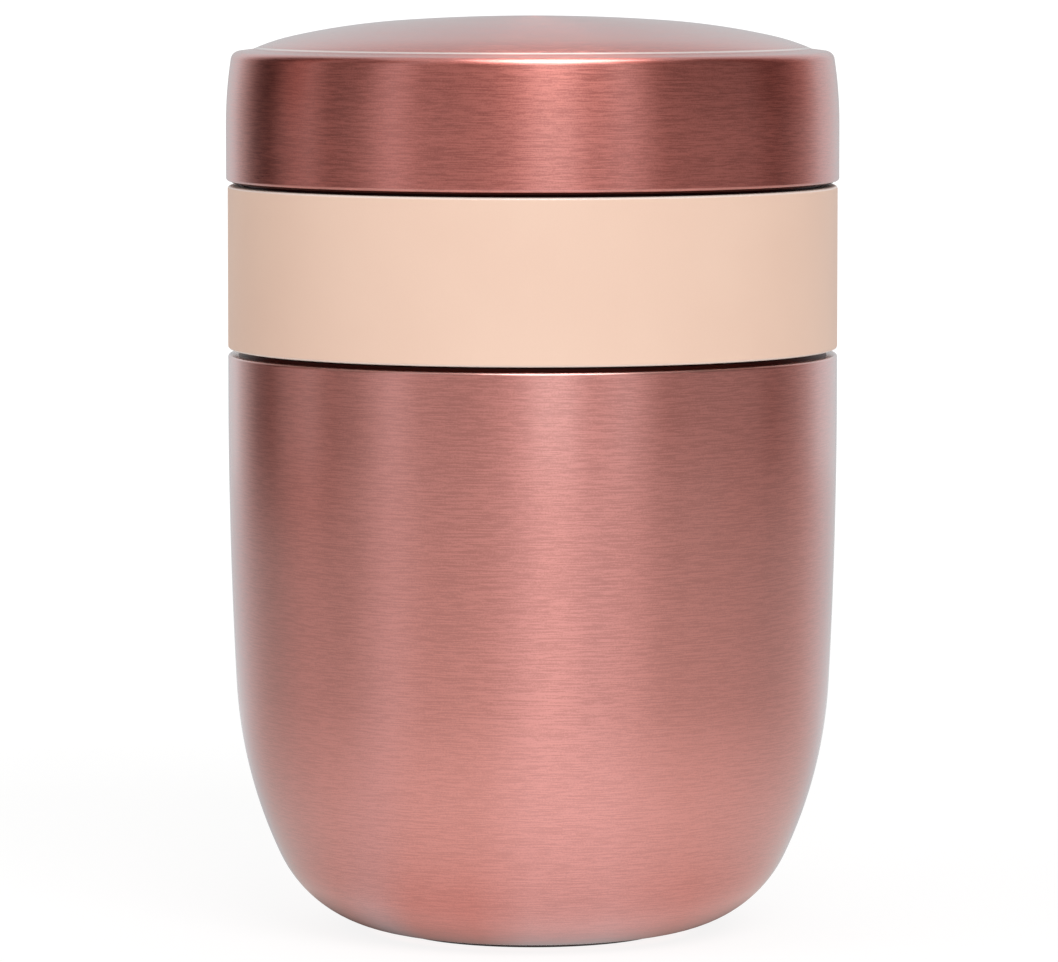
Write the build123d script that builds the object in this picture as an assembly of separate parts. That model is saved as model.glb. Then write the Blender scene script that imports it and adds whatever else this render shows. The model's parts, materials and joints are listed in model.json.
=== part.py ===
from build123d import *
import os
from math import atan2, cos, degrees, hypot, pi, radians, sin, sqrt

# Electric milk frother jug. Millimetres, Z up, Z = 0 on the table, Z axis through the middle.

# Outside shape
BODY_R = 50.0            # jacket and control band
FOOT_H = 0.6             # foot ring under the jacket
JACKET_TOP = 95.3        # height of the jacket's turned-in lip
JACKET_WALL = 0.8
JACKET_EDGE_R = 1.2      # rounded edge of the lip
SIDE_R = 914.0           # first, very slow curve of the side
SIDE_DEG = 2.96
BELLY_R = 75.5           # second curve, towards the bottom
BELLY_DEG = 22.24
LOWER_GROOVE = 0.9       # open groove between jacket and band
BAND_H = 26.7
BAND_WALL = 3.3
BAND_EDGE_R = 0.5
UPPER_GROOVE = 0.8       # open groove between band and lid

# Lid
LID_OVERHANG = 0.25      # how far the lid stands out past the band
LID_H = 26.9             # from the lid's lower edge to the top of its dome
LID_WALL = 0.8
LID_EDGE_R = 0.5
CROWN_R = 70.0           # slow inward curve of the lid's side
CROWN_DEG = 9.4
SHOULDER_R = 1.9
LEDGE_W = 1.5            # flat ring between shoulder and dome
DOME_TOP_R = 316.0       # the dome is three arcs, tighter towards its edge
DOME_TOP_DEG = 4.0
DOME_MID_DEG = 8.57
DOME_EDGE_R = 34.3
DOME_EDGE_DEG = 11.5
LID_BASE_H = 2.0         # ring that closes the lid from below
LINER_WALL = 2.0
LINER_FLANGE_W = 2.0
LINER_FLANGE_H = 1.0
PLUG_DEPTH = 9.8         # how far the plug goes down past the rim ring
SEAL_H = 3.0
SEAL_LIFT = 2.5          # from the plug's bottom to its seal
SEAL_GROOVE_D = 1.0

# Collar, pot and rim ring
COLLAR_WALL = 2.2
COLLAR_FLANGE_H = 0.6
COLLAR_FLANGE_W = 1.8
SNAP_H = 1.0             # snap bead under the jacket's lip
SNAP_W = 1.2
POT_GAP = 1.9            # air gap between collar and pot
POT_WALL = 0.8
POT_CORNER_R = 7.0
POT_BEND_R = 1.5
POT_SEAL_H = 0.6
RIM_PLATE_H = 0.6
RIM_SKIRT_H = 2.4
RIM_SKIRT_WALL = 0.8

# Turning control
BAND_TRAVEL = 60.0       # degrees
STOP_DEG = 6.0           # width of the stop rib
STOP_H = 2.0
STOP_W = 1.0             # how far it stands out of the collar
STOP_RISE = 3.0          # from the collar's flange up to the stop rib
STOP_ANGLE = 150.0       # where the rib stands, seen from above
STOP_SLACK_DEG = 0.5
BAND_MAGNET_R = 1.5
BAND_MAGNET_L = 1.5
SENSOR_STEP = 30.0       # degrees from one switching position to the next
SENSOR_ANGLE = 240.0     # middle of the sensor strip
SENSOR_RISE = 12.0       # magnets and sensors above the band's lower edge
SENSOR_STRIP_H = 12.0
SENSOR_STRIP_DEG = 72.0
SENSOR_STRIP_T = 0.7
SENSOR_SIZE = 3.0
SENSOR_T = 0.9

# Underside
LAND_W = 2.2             # how far the base plate reaches over the jacket's bottom
BASE_EDGE_W = 1.0        # plastic left outside the screw heads
BASE_FLANGE_H = 2.6
BASE_SCREW_L = 12.0
SOCKET_R = 12.5
SOCKET_H = 9.6
SOCKET_FLANGE_W = 1.1
SOCKET_FLANGE_H = 1.2
SOCKET_BORE_R = 9.0
SOCKET_BORE_D = 8.4
CONTACT_T = 0.8
CENTRE_CONTACT_R = 2.5
RING_CONTACT_R = 5.75    # middle of the ring contact
RING_CONTACT_W = 1.5
TAIL_R = 0.6

# Screws, studs and nuts
SCREW_R = 1.4
SCREW_HEAD_R = 2.3
SCREW_HEAD_H = 1.5
SMALL_SCREW_R = 1.0
SMALL_HEAD_R = 1.9
SMALL_HEAD_H = 1.0
STUD_R = 1.5
STUD_INSET = 2.0         # from the pot's rounded corner in to the studs
STUD_TAIL = 0.8          # thread below the nut
NUT_H = 2.4
NUT_R = 3.1              # across the corners

# Chassis and board
PLATE_H = 2.5
PLATE_EDGE_W = 0.9       # plate left outside the nuts and posts
POST_R = 2.9
LEG_R = 3.4
LEG_FOOT_R = 2.5
LEG_GAP = 0.7            # between the motor and the legs round it
BOARD_H = 1.6
BOARD_GAP = 2.3          # between the legs and the board round them
BOARD_EDGE_W = 5.0       # from the board's screws out to its edge
BOARD_POST_R = 2.6
RELAY_SIZE = (12.0, 15.0, 9.4)
RELAY_GAP = 1.0          # between the relay and the plate over it
RELAY_ANGLE = 120.0
CAPACITOR_R = 4.0
CAPACITOR_H = 9.0
CAPACITOR_ANGLES = (171.0, 189.0)
CHIP_SIZE = (7.0, 7.0, 1.2)
CHIP_ANGLE = 300.0
CONNECTOR_SIZE = (7.0, 6.0, 6.0)

# Motor
MOTOR_R = 12.2
MOTOR_L = 24.0
MOTOR_GAP = 3.3          # between the power socket and the motor over it
MOTOR_WALL = 0.8
MOTOR_BOSS_R = 4.0
MOTOR_BOSS_H = 2.0
MOTOR_SCREW_PCD_R = 8.0
BELL_H = 2.5
BELL_SPIGOT_H = 1.2
SHAFT_R = 1.5
BUSH_R = 3.0
FIELD_T = 1.8
FIELD_L = 16.0
FIELD_DEG = 140.0
AIR_GAP = 0.6
CORE_L = 12.0
POLE_W = 3.2
POLE_T = 1.8
POLE_DEG = 96.0
WINDING_T = 1.9
COMMUTATOR_R = 3.0
COMMUTATOR_L = 3.0
BRUSH_W = 2.0
BRUSH_L = 3.2

# Magnetic drive and heater
FLOOR_GAP = 1.0          # between drive disc and pot
DISC_R = 14.5
DISC_H = 5.0
DISC_HUB_R = 4.0
DISC_HUB_H = 3.6
MAGNET_R = 3.0
MAGNET_H = 3.0
MAGNET_PCD_R = 9.5
MAGNET_COUNT = 4
HUB_GAP = 1.1            # between the chassis plate and the disc's hub
SPREADER_GAP = 3.0       # between the disc and the spreader round it
SPREADER_H = 2.5
ELEMENT_R = 3.0
ELEMENT_FLAT = 0.8       # flat ground off the tube where it is brazed on
ELEMENT_GAP_DEG = 75.0
ELEMENT_GAP_ANGLE = 30.0
TERMINAL_R = 1.1
TERMINAL_L = 4.0
PROBE_R = 3.0
PROBE_ANGLE = 15.0
THERMOSTAT_R = 5.0
THERMOSTAT_H = 5.0
THERMOSTAT_ANGLE = 39.0
BLADE_W = 2.4
BLADE_T = 0.6
BLADE_L = 2.2

# Whisk
PIN_R = 2.0
PIN_FLANGE_R = 4.5
PIN_FLANGE_H = 0.8
SLEEVE_WALL = 1.1
SLEEVE_FLANGE_R = 4.6
SLEEVE_FLANGE_H = 0.8
SLEEVE_HEAD_H = 1.0
SLEEVE_HEAD_W = 0.4
SLEEVE_CAP_T = 2.4       # the sleeve's closed end, over the pin
HUB_H = 5.0
HUB_TUBE_R = 5.2
HUB_TUBE_H = 3.0
COVER_H = 0.8
VANE_T = 1.2
VANE_H = 2.2
VANE_COUNT = 6
COIL_PCD_R = 17.2
COIL_R = 2.7             # middle of the wire, from the middle of the coil
COIL_WIRE_R = 0.45
COIL_TURNS = 30
COIL_SPAN_DEG = 352.0

# Leads
LEAD_R = 0.5
LEAD_BEND_R = 1.2
LEAD_INSET = 2.0         # from the board's inner edge to the motor's leads, and on to the supply's
LEAD_GAP = 3.5           # between the chassis plate and the leads that pass it
SUPPLY_LEAD_RISE = 1.4
SUPPLY_LEAD_ANGLES = (50.0, 0.0)
MOTOR_LEAD_START_R = 9.0
MOTOR_LEAD_DROP = 1.6
MOTOR_LEAD_ANGLES = (150.0, 270.0)

# Clearances
TURN_FIT = 0.3           # between pieces that move past each other
SHAFT_FIT = 0.05         # radial, shaft in bush
SEAT_FIT = 0.1           # radial, a piece fitted in another
PIN_FIT = 0.06           # radial, whisk sleeve on its pin
HOLE_FIT = 0.2           # radial, screw through a plain hole
THREAD_FIT = 0.05        # radial, screw in its thread

# Angles where things repeat three times, seen from above
STUD_ANGLES = (90, 210, 330)
BOARD_ANGLES = (30, 150, 270)
LEG_ANGLES = (90, 210, 330)





def run(radius, start_deg, end_deg):
    """How far an arc goes across while its heading turns away from straight up or down."""
    return radius * (cos(radians(start_deg)) - cos(radians(end_deg)))


def rise(radius, start_deg, end_deg):
    """How far it goes up or down meanwhile."""
    return radius * (sin(radians(end_deg)) - sin(radians(start_deg)))


# Radii that follow from the outside inwards
LID_R = BODY_R + LID_OVERHANG
BAND_IN_R = BODY_R - BAND_WALL
COLLAR_R = BAND_IN_R - TURN_FIT
COLLAR_IN_R = COLLAR_R - COLLAR_WALL
LIP_R = COLLAR_R + TURN_FIT
POT_OUT_R = COLLAR_IN_R - POT_GAP
POT_R = POT_OUT_R - POT_WALL
POT_FLANGE_R = COLLAR_R - HOLE_FIT
RIM_SKIRT_R = COLLAR_R + SEAT_FIT + RIM_SKIRT_WALL
REBATE_R = RIM_SKIRT_R + TURN_FIT
PLUG_R = POT_R - HOLE_FIT - TURN_FIT
LID_BASE_R = LID_R - LID_WALL - SEAT_FIT
SHOULDER_END_R = LID_R - run(CROWN_R, 0, CROWN_DEG) - run(SHOULDER_R, CROWN_DEG, 90)
DOME_R = SHOULDER_END_R - LEDGE_W
DOME_BEND_DEG = DOME_TOP_DEG + DOME_MID_DEG
DOME_DEG = DOME_BEND_DEG + DOME_EDGE_DEG
DOME_EDGE_RUN = rise(DOME_TOP_R, 0, DOME_TOP_DEG) + rise(DOME_EDGE_R, DOME_BEND_DEG, DOME_DEG)
DOME_MID_R = (DOME_R - DOME_EDGE_RUN) / rise(1, DOME_TOP_DEG, DOME_BEND_DEG)
STUD_PCD_R = POT_R - POT_CORNER_R - STUD_INSET
PLATE_R = STUD_PCD_R + NUT_R + PLATE_EDGE_W
SPREADER_IN_R = DISC_R + SPREADER_GAP
SPREADER_OUT_R = STUD_PCD_R - POST_R - SEAT_FIT
ELEMENT_PCD_R = (SPREADER_IN_R + SPREADER_OUT_R) / 2

# Radii that follow from the middle outwards
SOCKET_REACH = SOCKET_R + SOCKET_FLANGE_W + HOLE_FIT + LEG_FOOT_R
BASE_SCREW_PCD_R = max(SOCKET_REACH, MOTOR_R + LEG_GAP + LEG_R)
JACKET_HOLE_R = BASE_SCREW_PCD_R + SCREW_HEAD_R + BASE_EDGE_W + 2 * HOLE_FIT
FLAT_R = JACKET_HOLE_R + LAND_W + THREAD_FIT
SLOPE_DEG = SIDE_DEG + BELLY_DEG
SIDE_END_R = BODY_R - run(SIDE_R, 0, SIDE_DEG) - run(BELLY_R, SIDE_DEG, SLOPE_DEG)
HEEL_R = (SIDE_END_R - FLAT_R) / run(1, SLOPE_DEG, 90)
BOARD_IN_R = BASE_SCREW_PCD_R + LEG_R + BOARD_GAP
BOARD_PCD_R = PLATE_R - PLATE_EDGE_W - BOARD_POST_R
BOARD_OUT_R = BOARD_PCD_R + BOARD_EDGE_W
BOARD_MIDDLE_R = (BOARD_IN_R + BOARD_OUT_R) / 2
MOTOR_LEAD_R = BOARD_IN_R + LEAD_INSET
SUPPLY_LEAD_R = MOTOR_LEAD_R + LEAD_INSET
OUTER_LEAD_R = PLATE_R + LEAD_GAP + LEAD_R
MOTOR_IN_R = MOTOR_R - MOTOR_WALL
FIELD_OUT_R = MOTOR_IN_R - SEAT_FIT
ARMATURE_R = FIELD_OUT_R - FIELD_T - AIR_GAP
GROOVE_R = COIL_R + COIL_WIRE_R + SEAT_FIT
SLEEVE_R = PIN_R + PIN_FIT + SLEEVE_WALL
HUB_BORE_R = SLEEVE_R + PIN_FIT
COVER_R = COIL_PCD_R - sqrt(GROOVE_R ** 2 - (HUB_H / 2) ** 2)

# Heights that follow, from the table upwards
BAND_LOW = JACKET_TOP + LOWER_GROOVE
BAND_TOP = BAND_LOW + BAND_H
LID_LOW = BAND_TOP + UPPER_GROOVE
LID_TOP = LID_LOW + LID_H
DOME_H = run(DOME_TOP_R, 0, DOME_TOP_DEG) + run(DOME_MID_R, DOME_TOP_DEG, DOME_BEND_DEG)
DOME_H += run(DOME_EDGE_R, DOME_BEND_DEG, DOME_DEG)
LEDGE = LID_TOP - DOME_H
CROWN_TOP = LEDGE - rise(SHOULDER_R, CROWN_DEG, 90)
CROWN_LOW = CROWN_TOP - rise(CROWN_R, 0, CROWN_DEG)
RIM_TOP = LID_LOW - TURN_FIT
POT_TOP = RIM_TOP - RIM_PLATE_H
POT_SEAT = POT_TOP - POT_WALL
COLLAR_TOP = POT_SEAT - POT_SEAL_H
COLLAR_FLANGE_TOP = JACKET_TOP + COLLAR_FLANGE_H
SNAP_TOP = JACKET_TOP - JACKET_WALL - HOLE_FIT
REBATE_LOW = POT_TOP - RIM_SKIRT_H - TURN_FIT
PLUG_LOW = RIM_TOP - PLUG_DEPTH
LID_BASE_TOP = RIM_TOP + LID_BASE_H
LAND = FOOT_H + JACKET_WALL
BASE_TOP = LAND + BASE_FLANGE_H
SOCKET_TOP = FOOT_H + SOCKET_H
SOCKET_CEILING = FOOT_H + SOCKET_BORE_D
BELL_LOW = SOCKET_TOP + MOTOR_GAP
MOTOR_LOW = BELL_LOW + BELL_H
PLATE_LOW = MOTOR_LOW + MOTOR_L
PLATE_TOP = PLATE_LOW + PLATE_H
BOARD_TOP = PLATE_LOW - RELAY_GAP - RELAY_SIZE[2]
BOARD_LOW = BOARD_TOP - BOARD_H
SUPPLY_LEAD_Z = SOCKET_TOP + SUPPLY_LEAD_RISE
BELL_TOP = MOTOR_LOW + BELL_SPIGOT_H
CORE_MIDDLE = MOTOR_LOW + MOTOR_L / 2
POT_UNDER = PLATE_TOP + HUB_GAP + DISC_HUB_H + DISC_H + FLOOR_GAP
POT_FLOOR = POT_UNDER + POT_WALL
DISC_TOP = POT_UNDER - FLOOR_GAP
DISC_LOW = DISC_TOP - DISC_H
SPREADER_LOW = POT_UNDER - SPREADER_H
ELEMENT_Z = SPREADER_LOW - ELEMENT_R + ELEMENT_FLAT
SLEEVE_LOW = POT_FLOOR + PIN_FLANGE_H + HOLE_FIT
COVER_LOW = SLEEVE_LOW + SLEEVE_FLANGE_H + TURN_FIT
HUB_LOW = COVER_LOW + COVER_H
HUB_TOP = HUB_LOW + HUB_H
TUBE_TOP = HUB_TOP + HUB_TUBE_H
SLEEVE_TOP = TUBE_TOP + TURN_FIT + SLEEVE_HEAD_H
PIN_TOP = SLEEVE_TOP - SLEEVE_CAP_T
COIL_Z = HUB_LOW + HUB_H / 2
SENSOR_Z = BAND_LOW + SENSOR_RISE


def ring(inner, outer, low, high):
    """A ring about Z between two radii and two heights. An inner radius of 0 makes a disc."""
    section = Pos((inner + outer) / 2, (low + high) / 2) * Rectangle(outer - inner, high - low)
    return revolve(Plane.XZ * section, Axis.Z)


def sector(inner, outer, low, high, start, sweep_deg):
    """Part of such a ring, from a start angle round by a sweep."""
    section = Pos((inner + outer) / 2, (low + high) / 2) * Rectangle(outer - inner, high - low)
    return Rot(0, 0, start) * revolve(Plane.XZ * section, Axis.Z, sweep_deg)


def turned(*points):
    """A solid turned about Z from a closed outline of (radius, height) points."""
    return revolve(Plane.XZ * Polygon(*points, align=None), Axis.Z)


def turned_wall(outer, inner):
    """A wall turned about Z between two outlines that start and end side by side."""
    first = Wire(outer.edges())
    second = Wire(inner.edges())
    ends = [Line(first @ 0, second @ 0), Line(first @ 1, second @ 1)]
    face = make_face([*first.edges(), *second.edges(), *ends])
    return revolve(Plane.XZ * face, Axis.Z)


def rod(radius, low, high, distance=0.0, angle=0.0):
    """An upright round rod between two heights, at a distance from the axis."""
    height = high - low
    return Rot(0, 0, angle) * Pos(distance, 0, low + height / 2) * Cylinder(radius, height)


def block(length, width, low, high, distance, angle):
    """An upright box, its length along the radius, at a distance from the axis."""
    height = high - low
    return Rot(0, 0, angle) * Pos(distance, 0, low + height / 2) * Box(length, width, height)


def around(shape, angles):
    """Copies of a shape turned about Z to each of the angles."""
    return [Rot(0, 0, angle) * shape for angle in angles]


def evenly(count):
    """Angles that share a turn equally."""
    return [360.0 * index / count for index in range(count)]


def lead(angle, *points):
    """A round lead in the upright plane at an angle, through (radius, height) points."""
    route = Plane.XZ * FilletPolyline(*points, radius=LEAD_BEND_R)
    section = Plane(route @ 0, z_dir=route % 0) * Circle(LEAD_R)
    return Rot(0, 0, angle) * sweep(section, route)


# Outer jacket: deep-drawn metal, three slow curves down to a flat bottom
def jacket_line(inset):
    """The jacket's section from lip to bottom opening, moved into the metal by the inset."""
    drop = rise(SIDE_R, 0, SIDE_DEG) + rise(BELLY_R, SIDE_DEG, SLOPE_DEG) + rise(HEEL_R, SLOPE_DEG, 90)
    with BuildLine() as line:
        lip = Line((LIP_R, JACKET_TOP - inset), (BODY_R - JACKET_EDGE_R, JACKET_TOP - inset))
        edge = JernArc(lip @ 1, lip % 1, JACKET_EDGE_R - inset, -90)
        wall = Line(edge @ 1, (BODY_R - inset, FOOT_H + drop))
        side = JernArc(wall @ 1, wall % 1, SIDE_R - inset, -SIDE_DEG)
        belly = JernArc(side @ 1, side % 1, BELLY_R - inset, -BELLY_DEG)
        heel = JernArc(belly @ 1, belly % 1, HEEL_R - inset, SLOPE_DEG - 90)
        Line(heel @ 1, (JACKET_HOLE_R, FOOT_H + inset))
    return line.line


def outer_jacket():
    return turned_wall(jacket_line(0), jacket_line(JACKET_WALL))


def foot_ring():
    inner = JACKET_HOLE_R - 2 * HOLE_FIT
    return ring(inner, JACKET_HOLE_R + LAND_W, 0, FOOT_H)


# Lid
def lid_line(inset):
    """The lid's section from lower edge to top, moved into the metal by the inset."""
    slope = radians(DOME_DEG)
    heading = (-cos(slope), sin(slope))
    with BuildLine() as line:
        side = Line((LID_R - inset, LID_LOW), (LID_R - inset, CROWN_LOW))
        crown = JernArc(side @ 1, side % 1, CROWN_R - inset, CROWN_DEG)
        shoulder = JernArc(crown @ 1, crown % 1, SHOULDER_R - inset, 90 - CROWN_DEG)
        ledge = Line(shoulder @ 1, (DOME_R, LEDGE - inset))
        start = (DOME_R - inset * sin(slope), LEDGE - inset * cos(slope))
        if inset > 0:
            Line(ledge @ 1, start)
        edge = JernArc(start, heading, DOME_EDGE_R - inset, DOME_EDGE_DEG)
        middle = JernArc(edge @ 1, edge % 1, DOME_MID_R - inset, DOME_MID_DEG)
        JernArc(middle @ 1, middle % 1, DOME_TOP_R - inset, DOME_TOP_DEG)
    return line.line


def lid_cap():
    """A pressed cap: upright side with a slow crown, round shoulder, ledge and low dome."""
    cap = turned_wall(lid_line(0), lid_line(LID_WALL))
    lowest = cap.edges().filter_by(GeomType.CIRCLE).group_by(Axis.Z)[0]
    return fillet(lowest.sort_by(lambda edge: edge.radius)[-1], LID_EDGE_R)


def lid_base():
    """The ring that closes the lid from below and rests on the rim ring."""
    return ring(PLUG_R + SEAT_FIT, LID_BASE_R, RIM_TOP, LID_BASE_TOP)


def lid_liner():
    """A plug with a flat floor and a groove for its seal, hung in the lid base by its flange."""
    groove_low = PLUG_LOW + SEAL_LIFT
    groove_high = groove_low + SEAL_H
    groove_r = PLUG_R - SEAL_GROOVE_D
    flange_r = PLUG_R + LINER_FLANGE_W
    top = LID_BASE_TOP + LINER_FLANGE_H
    return turned(
        (0, PLUG_LOW), (PLUG_R, PLUG_LOW),
        (PLUG_R, groove_low), (groove_r, groove_low),
        (groove_r, groove_high), (PLUG_R, groove_high),
        (PLUG_R, LID_BASE_TOP), (flange_r, LID_BASE_TOP),
        (flange_r, top), (PLUG_R - LINER_WALL, top),
        (PLUG_R - LINER_WALL, PLUG_LOW + LINER_WALL), (0, PLUG_LOW + LINER_WALL),
    )


def lid_seal():
    """A silicone ring with a lip that just meets the pot."""
    low = PLUG_LOW + SEAL_LIFT
    high = low + SEAL_H
    inner = PLUG_R - SEAL_GROOVE_D
    lip = POT_R - SEAT_FIT
    return turned((inner, low), (PLUG_R, low), (lip, low + SEAL_H / 2), (PLUG_R, high), (inner, high))


def lid_insulation():
    return ring(0, PLUG_R - LINER_WALL - HOLE_FIT, PLUG_LOW + LINER_WALL, LID_BASE_TOP)


# Collar, pot and rim
def collar():
    """The neck that carries pot and band, with a flange on the jacket's lip and a snap bead under it."""
    snap_low = SNAP_TOP - SNAP_H
    foot = snap_low - SNAP_H
    flange_r = COLLAR_R + COLLAR_FLANGE_W
    neck = turned(
        (COLLAR_IN_R, foot), (COLLAR_R, foot),
        (COLLAR_R + SNAP_W, snap_low), (COLLAR_R + SNAP_W, SNAP_TOP),
        (COLLAR_R, SNAP_TOP), (COLLAR_R, JACKET_TOP),
        (flange_r, JACKET_TOP), (flange_r, COLLAR_FLANGE_TOP),
        (COLLAR_R, COLLAR_FLANGE_TOP), (COLLAR_R, COLLAR_TOP), (COLLAR_IN_R, COLLAR_TOP),
    )
    low = COLLAR_FLANGE_TOP + STOP_RISE
    start = STOP_ANGLE - STOP_DEG / 2
    stop = sector(COLLAR_R - COLLAR_WALL / 2, COLLAR_R + STOP_W, low, low + STOP_H, start, STOP_DEG)
    return neck + stop


def pot_seal():
    return ring(COLLAR_IN_R + SEAT_FIT, POT_FLANGE_R, COLLAR_TOP, POT_SEAT)


def pot_line(inset):
    """The pot's section from flange to middle, moved out of the milk side by the inset."""
    with BuildLine() as line:
        flange = Line((POT_FLANGE_R, POT_TOP - inset), (POT_R + POT_BEND_R, POT_TOP - inset))
        bend = JernArc(flange @ 1, flange % 1, POT_BEND_R - inset, 90)
        wall = Line(bend @ 1, (POT_R + inset, POT_FLOOR + POT_CORNER_R))
        corner = JernArc(wall @ 1, wall % 1, POT_CORNER_R + inset, -90)
        Line(corner @ 1, (0, POT_FLOOR - inset))
    return line.line


def inner_pot():
    milk_side = Wire(pot_line(0).edges())
    outside = Wire(pot_line(POT_WALL).edges())
    ends = [Line(milk_side @ 0, outside @ 0), Line(milk_side @ 1, outside @ 1)]
    face = make_face([*milk_side.edges(), *outside.edges(), *ends])
    return revolve(Plane.XZ * face, Axis.Z)


def rim_ring():
    """Clamps the pot's flange, and its skirt keeps the band from lifting."""
    inner = POT_R + POT_BEND_R + HOLE_FIT
    skirt_in = RIM_SKIRT_R - RIM_SKIRT_WALL
    skirt_low = POT_TOP - RIM_SKIRT_H
    return turned(
        (inner, POT_TOP), (skirt_in, POT_TOP), (skirt_in, skirt_low),
        (RIM_SKIRT_R, skirt_low), (RIM_SKIRT_R, RIM_TOP), (inner, RIM_TOP),
    )


# Turning control band
def sensor_angles():
    """One switching position at each end of the travel and one in the middle."""
    return [SENSOR_ANGLE - SENSOR_STEP, SENSOR_ANGLE, SENSOR_ANGLE + SENSOR_STEP]


def band_magnet_angles():
    return [SENSOR_ANGLE - SENSOR_STEP, SENSOR_ANGLE]


def band_magnet(fit):
    """A magnet lying along the radius, its end level with the inside of the band."""
    length = BAND_MAGNET_L + fit
    disc = Rot(0, 90, 0) * Cylinder(BAND_MAGNET_R + fit, length)
    return Pos(BAND_IN_R + SEAT_FIT + length / 2, 0, SENSOR_Z) * disc


def control_band():
    """A ring that runs round the collar, rebated for the rim ring, slotted for the stop."""
    body = ring(BAND_IN_R, BODY_R, BAND_LOW, BAND_TOP)
    outside = body.edges().filter_by(GeomType.CIRCLE).group_by(lambda edge: edge.radius)[-1]
    body = fillet(outside, BAND_EDGE_R)
    body -= ring(BAND_IN_R - TURN_FIT, REBATE_R, REBATE_LOW, BAND_TOP + TURN_FIT)
    low = COLLAR_FLANGE_TOP + STOP_RISE - TURN_FIT
    high = low + STOP_H + 2 * TURN_FIT
    start = STOP_ANGLE - STOP_DEG / 2 - STOP_SLACK_DEG - BAND_TRAVEL
    sweep_deg = BAND_TRAVEL + STOP_DEG + 2 * STOP_SLACK_DEG
    outer = COLLAR_R + STOP_W + TURN_FIT
    body -= sector(BAND_IN_R - TURN_FIT, outer, low, high, start, sweep_deg)
    pocket = band_magnet(SEAT_FIT)
    mouth = Pos(-2 * SEAT_FIT, 0, 0) * pocket
    for angle in band_magnet_angles():
        body -= Rot(0, 0, angle) * (pocket + mouth)
    return body


def band_magnets():
    return Compound(around(band_magnet(0), band_magnet_angles()))


def sensor_board():
    start = SENSOR_ANGLE - SENSOR_STRIP_DEG / 2
    low = SENSOR_Z - SENSOR_STRIP_H / 2
    inner = COLLAR_IN_R - SENSOR_STRIP_T
    return sector(inner, COLLAR_IN_R, low, low + SENSOR_STRIP_H, start, SENSOR_STRIP_DEG)


def hall_sensors():
    outer = COLLAR_IN_R - SENSOR_STRIP_T
    low = SENSOR_Z - SENSOR_SIZE / 2
    width_deg = degrees(SENSOR_SIZE / outer)
    chips = []
    for angle in sensor_angles():
        start = angle - width_deg / 2
        chips.append(sector(outer - SENSOR_T, outer, low, low + SENSOR_SIZE, start, width_deg))
    return Compound(chips)


# Underside
def base_plate():
    """Lies on the jacket's bottom from inside; its spigot fills the opening in the jacket."""
    plate = ring(SOCKET_R + SEAT_FIT, JACKET_HOLE_R + LAND_W, LAND, BASE_TOP)
    plate += ring(SOCKET_R + SEAT_FIT, JACKET_HOLE_R - HOLE_FIT, FOOT_H, LAND)
    head_top = FOOT_H + SCREW_HEAD_H + SEAT_FIT
    for angle in LEG_ANGLES:
        plate -= rod(SCREW_R + HOLE_FIT, FOOT_H, BASE_TOP, BASE_SCREW_PCD_R, angle)
        plate -= rod(SCREW_HEAD_R + HOLE_FIT, FOOT_H, head_top, BASE_SCREW_PCD_R, angle)
    return plate


def base_screws():
    low = FOOT_H + SEAT_FIT
    head_top = low + SCREW_HEAD_H
    screw = rod(SCREW_HEAD_R, low, head_top, BASE_SCREW_PCD_R)
    screw += rod(SCREW_R, head_top, low + BASE_SCREW_L, BASE_SCREW_PCD_R)
    return Compound(around(screw, LEG_ANGLES))


def contact_seats(fit):
    """The centre and ring contacts with their tails, grown by a fit."""
    half = RING_CONTACT_W / 2 + fit
    top = SOCKET_CEILING + CONTACT_T
    centre = ring(0, CENTRE_CONTACT_R + fit, SOCKET_CEILING, top)
    centre += rod(TAIL_R + fit, top, SOCKET_TOP)
    outer = ring(RING_CONTACT_R - half, RING_CONTACT_R + half, SOCKET_CEILING, top)
    outer += rod(TAIL_R + fit, top, SOCKET_TOP, RING_CONTACT_R)
    return centre, outer


def power_socket():
    """A round inlet, open downwards, with contacts in its ceiling."""
    body = ring(0, SOCKET_R, FOOT_H, SOCKET_TOP)
    body += ring(0, SOCKET_R + SOCKET_FLANGE_W, BASE_TOP, BASE_TOP + SOCKET_FLANGE_H)
    body -= ring(0, SOCKET_BORE_R, FOOT_H, SOCKET_CEILING)
    for seat in contact_seats(THREAD_FIT):
        body -= seat
    return body


def socket_contacts():
    return Compound(list(contact_seats(0)))


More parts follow.
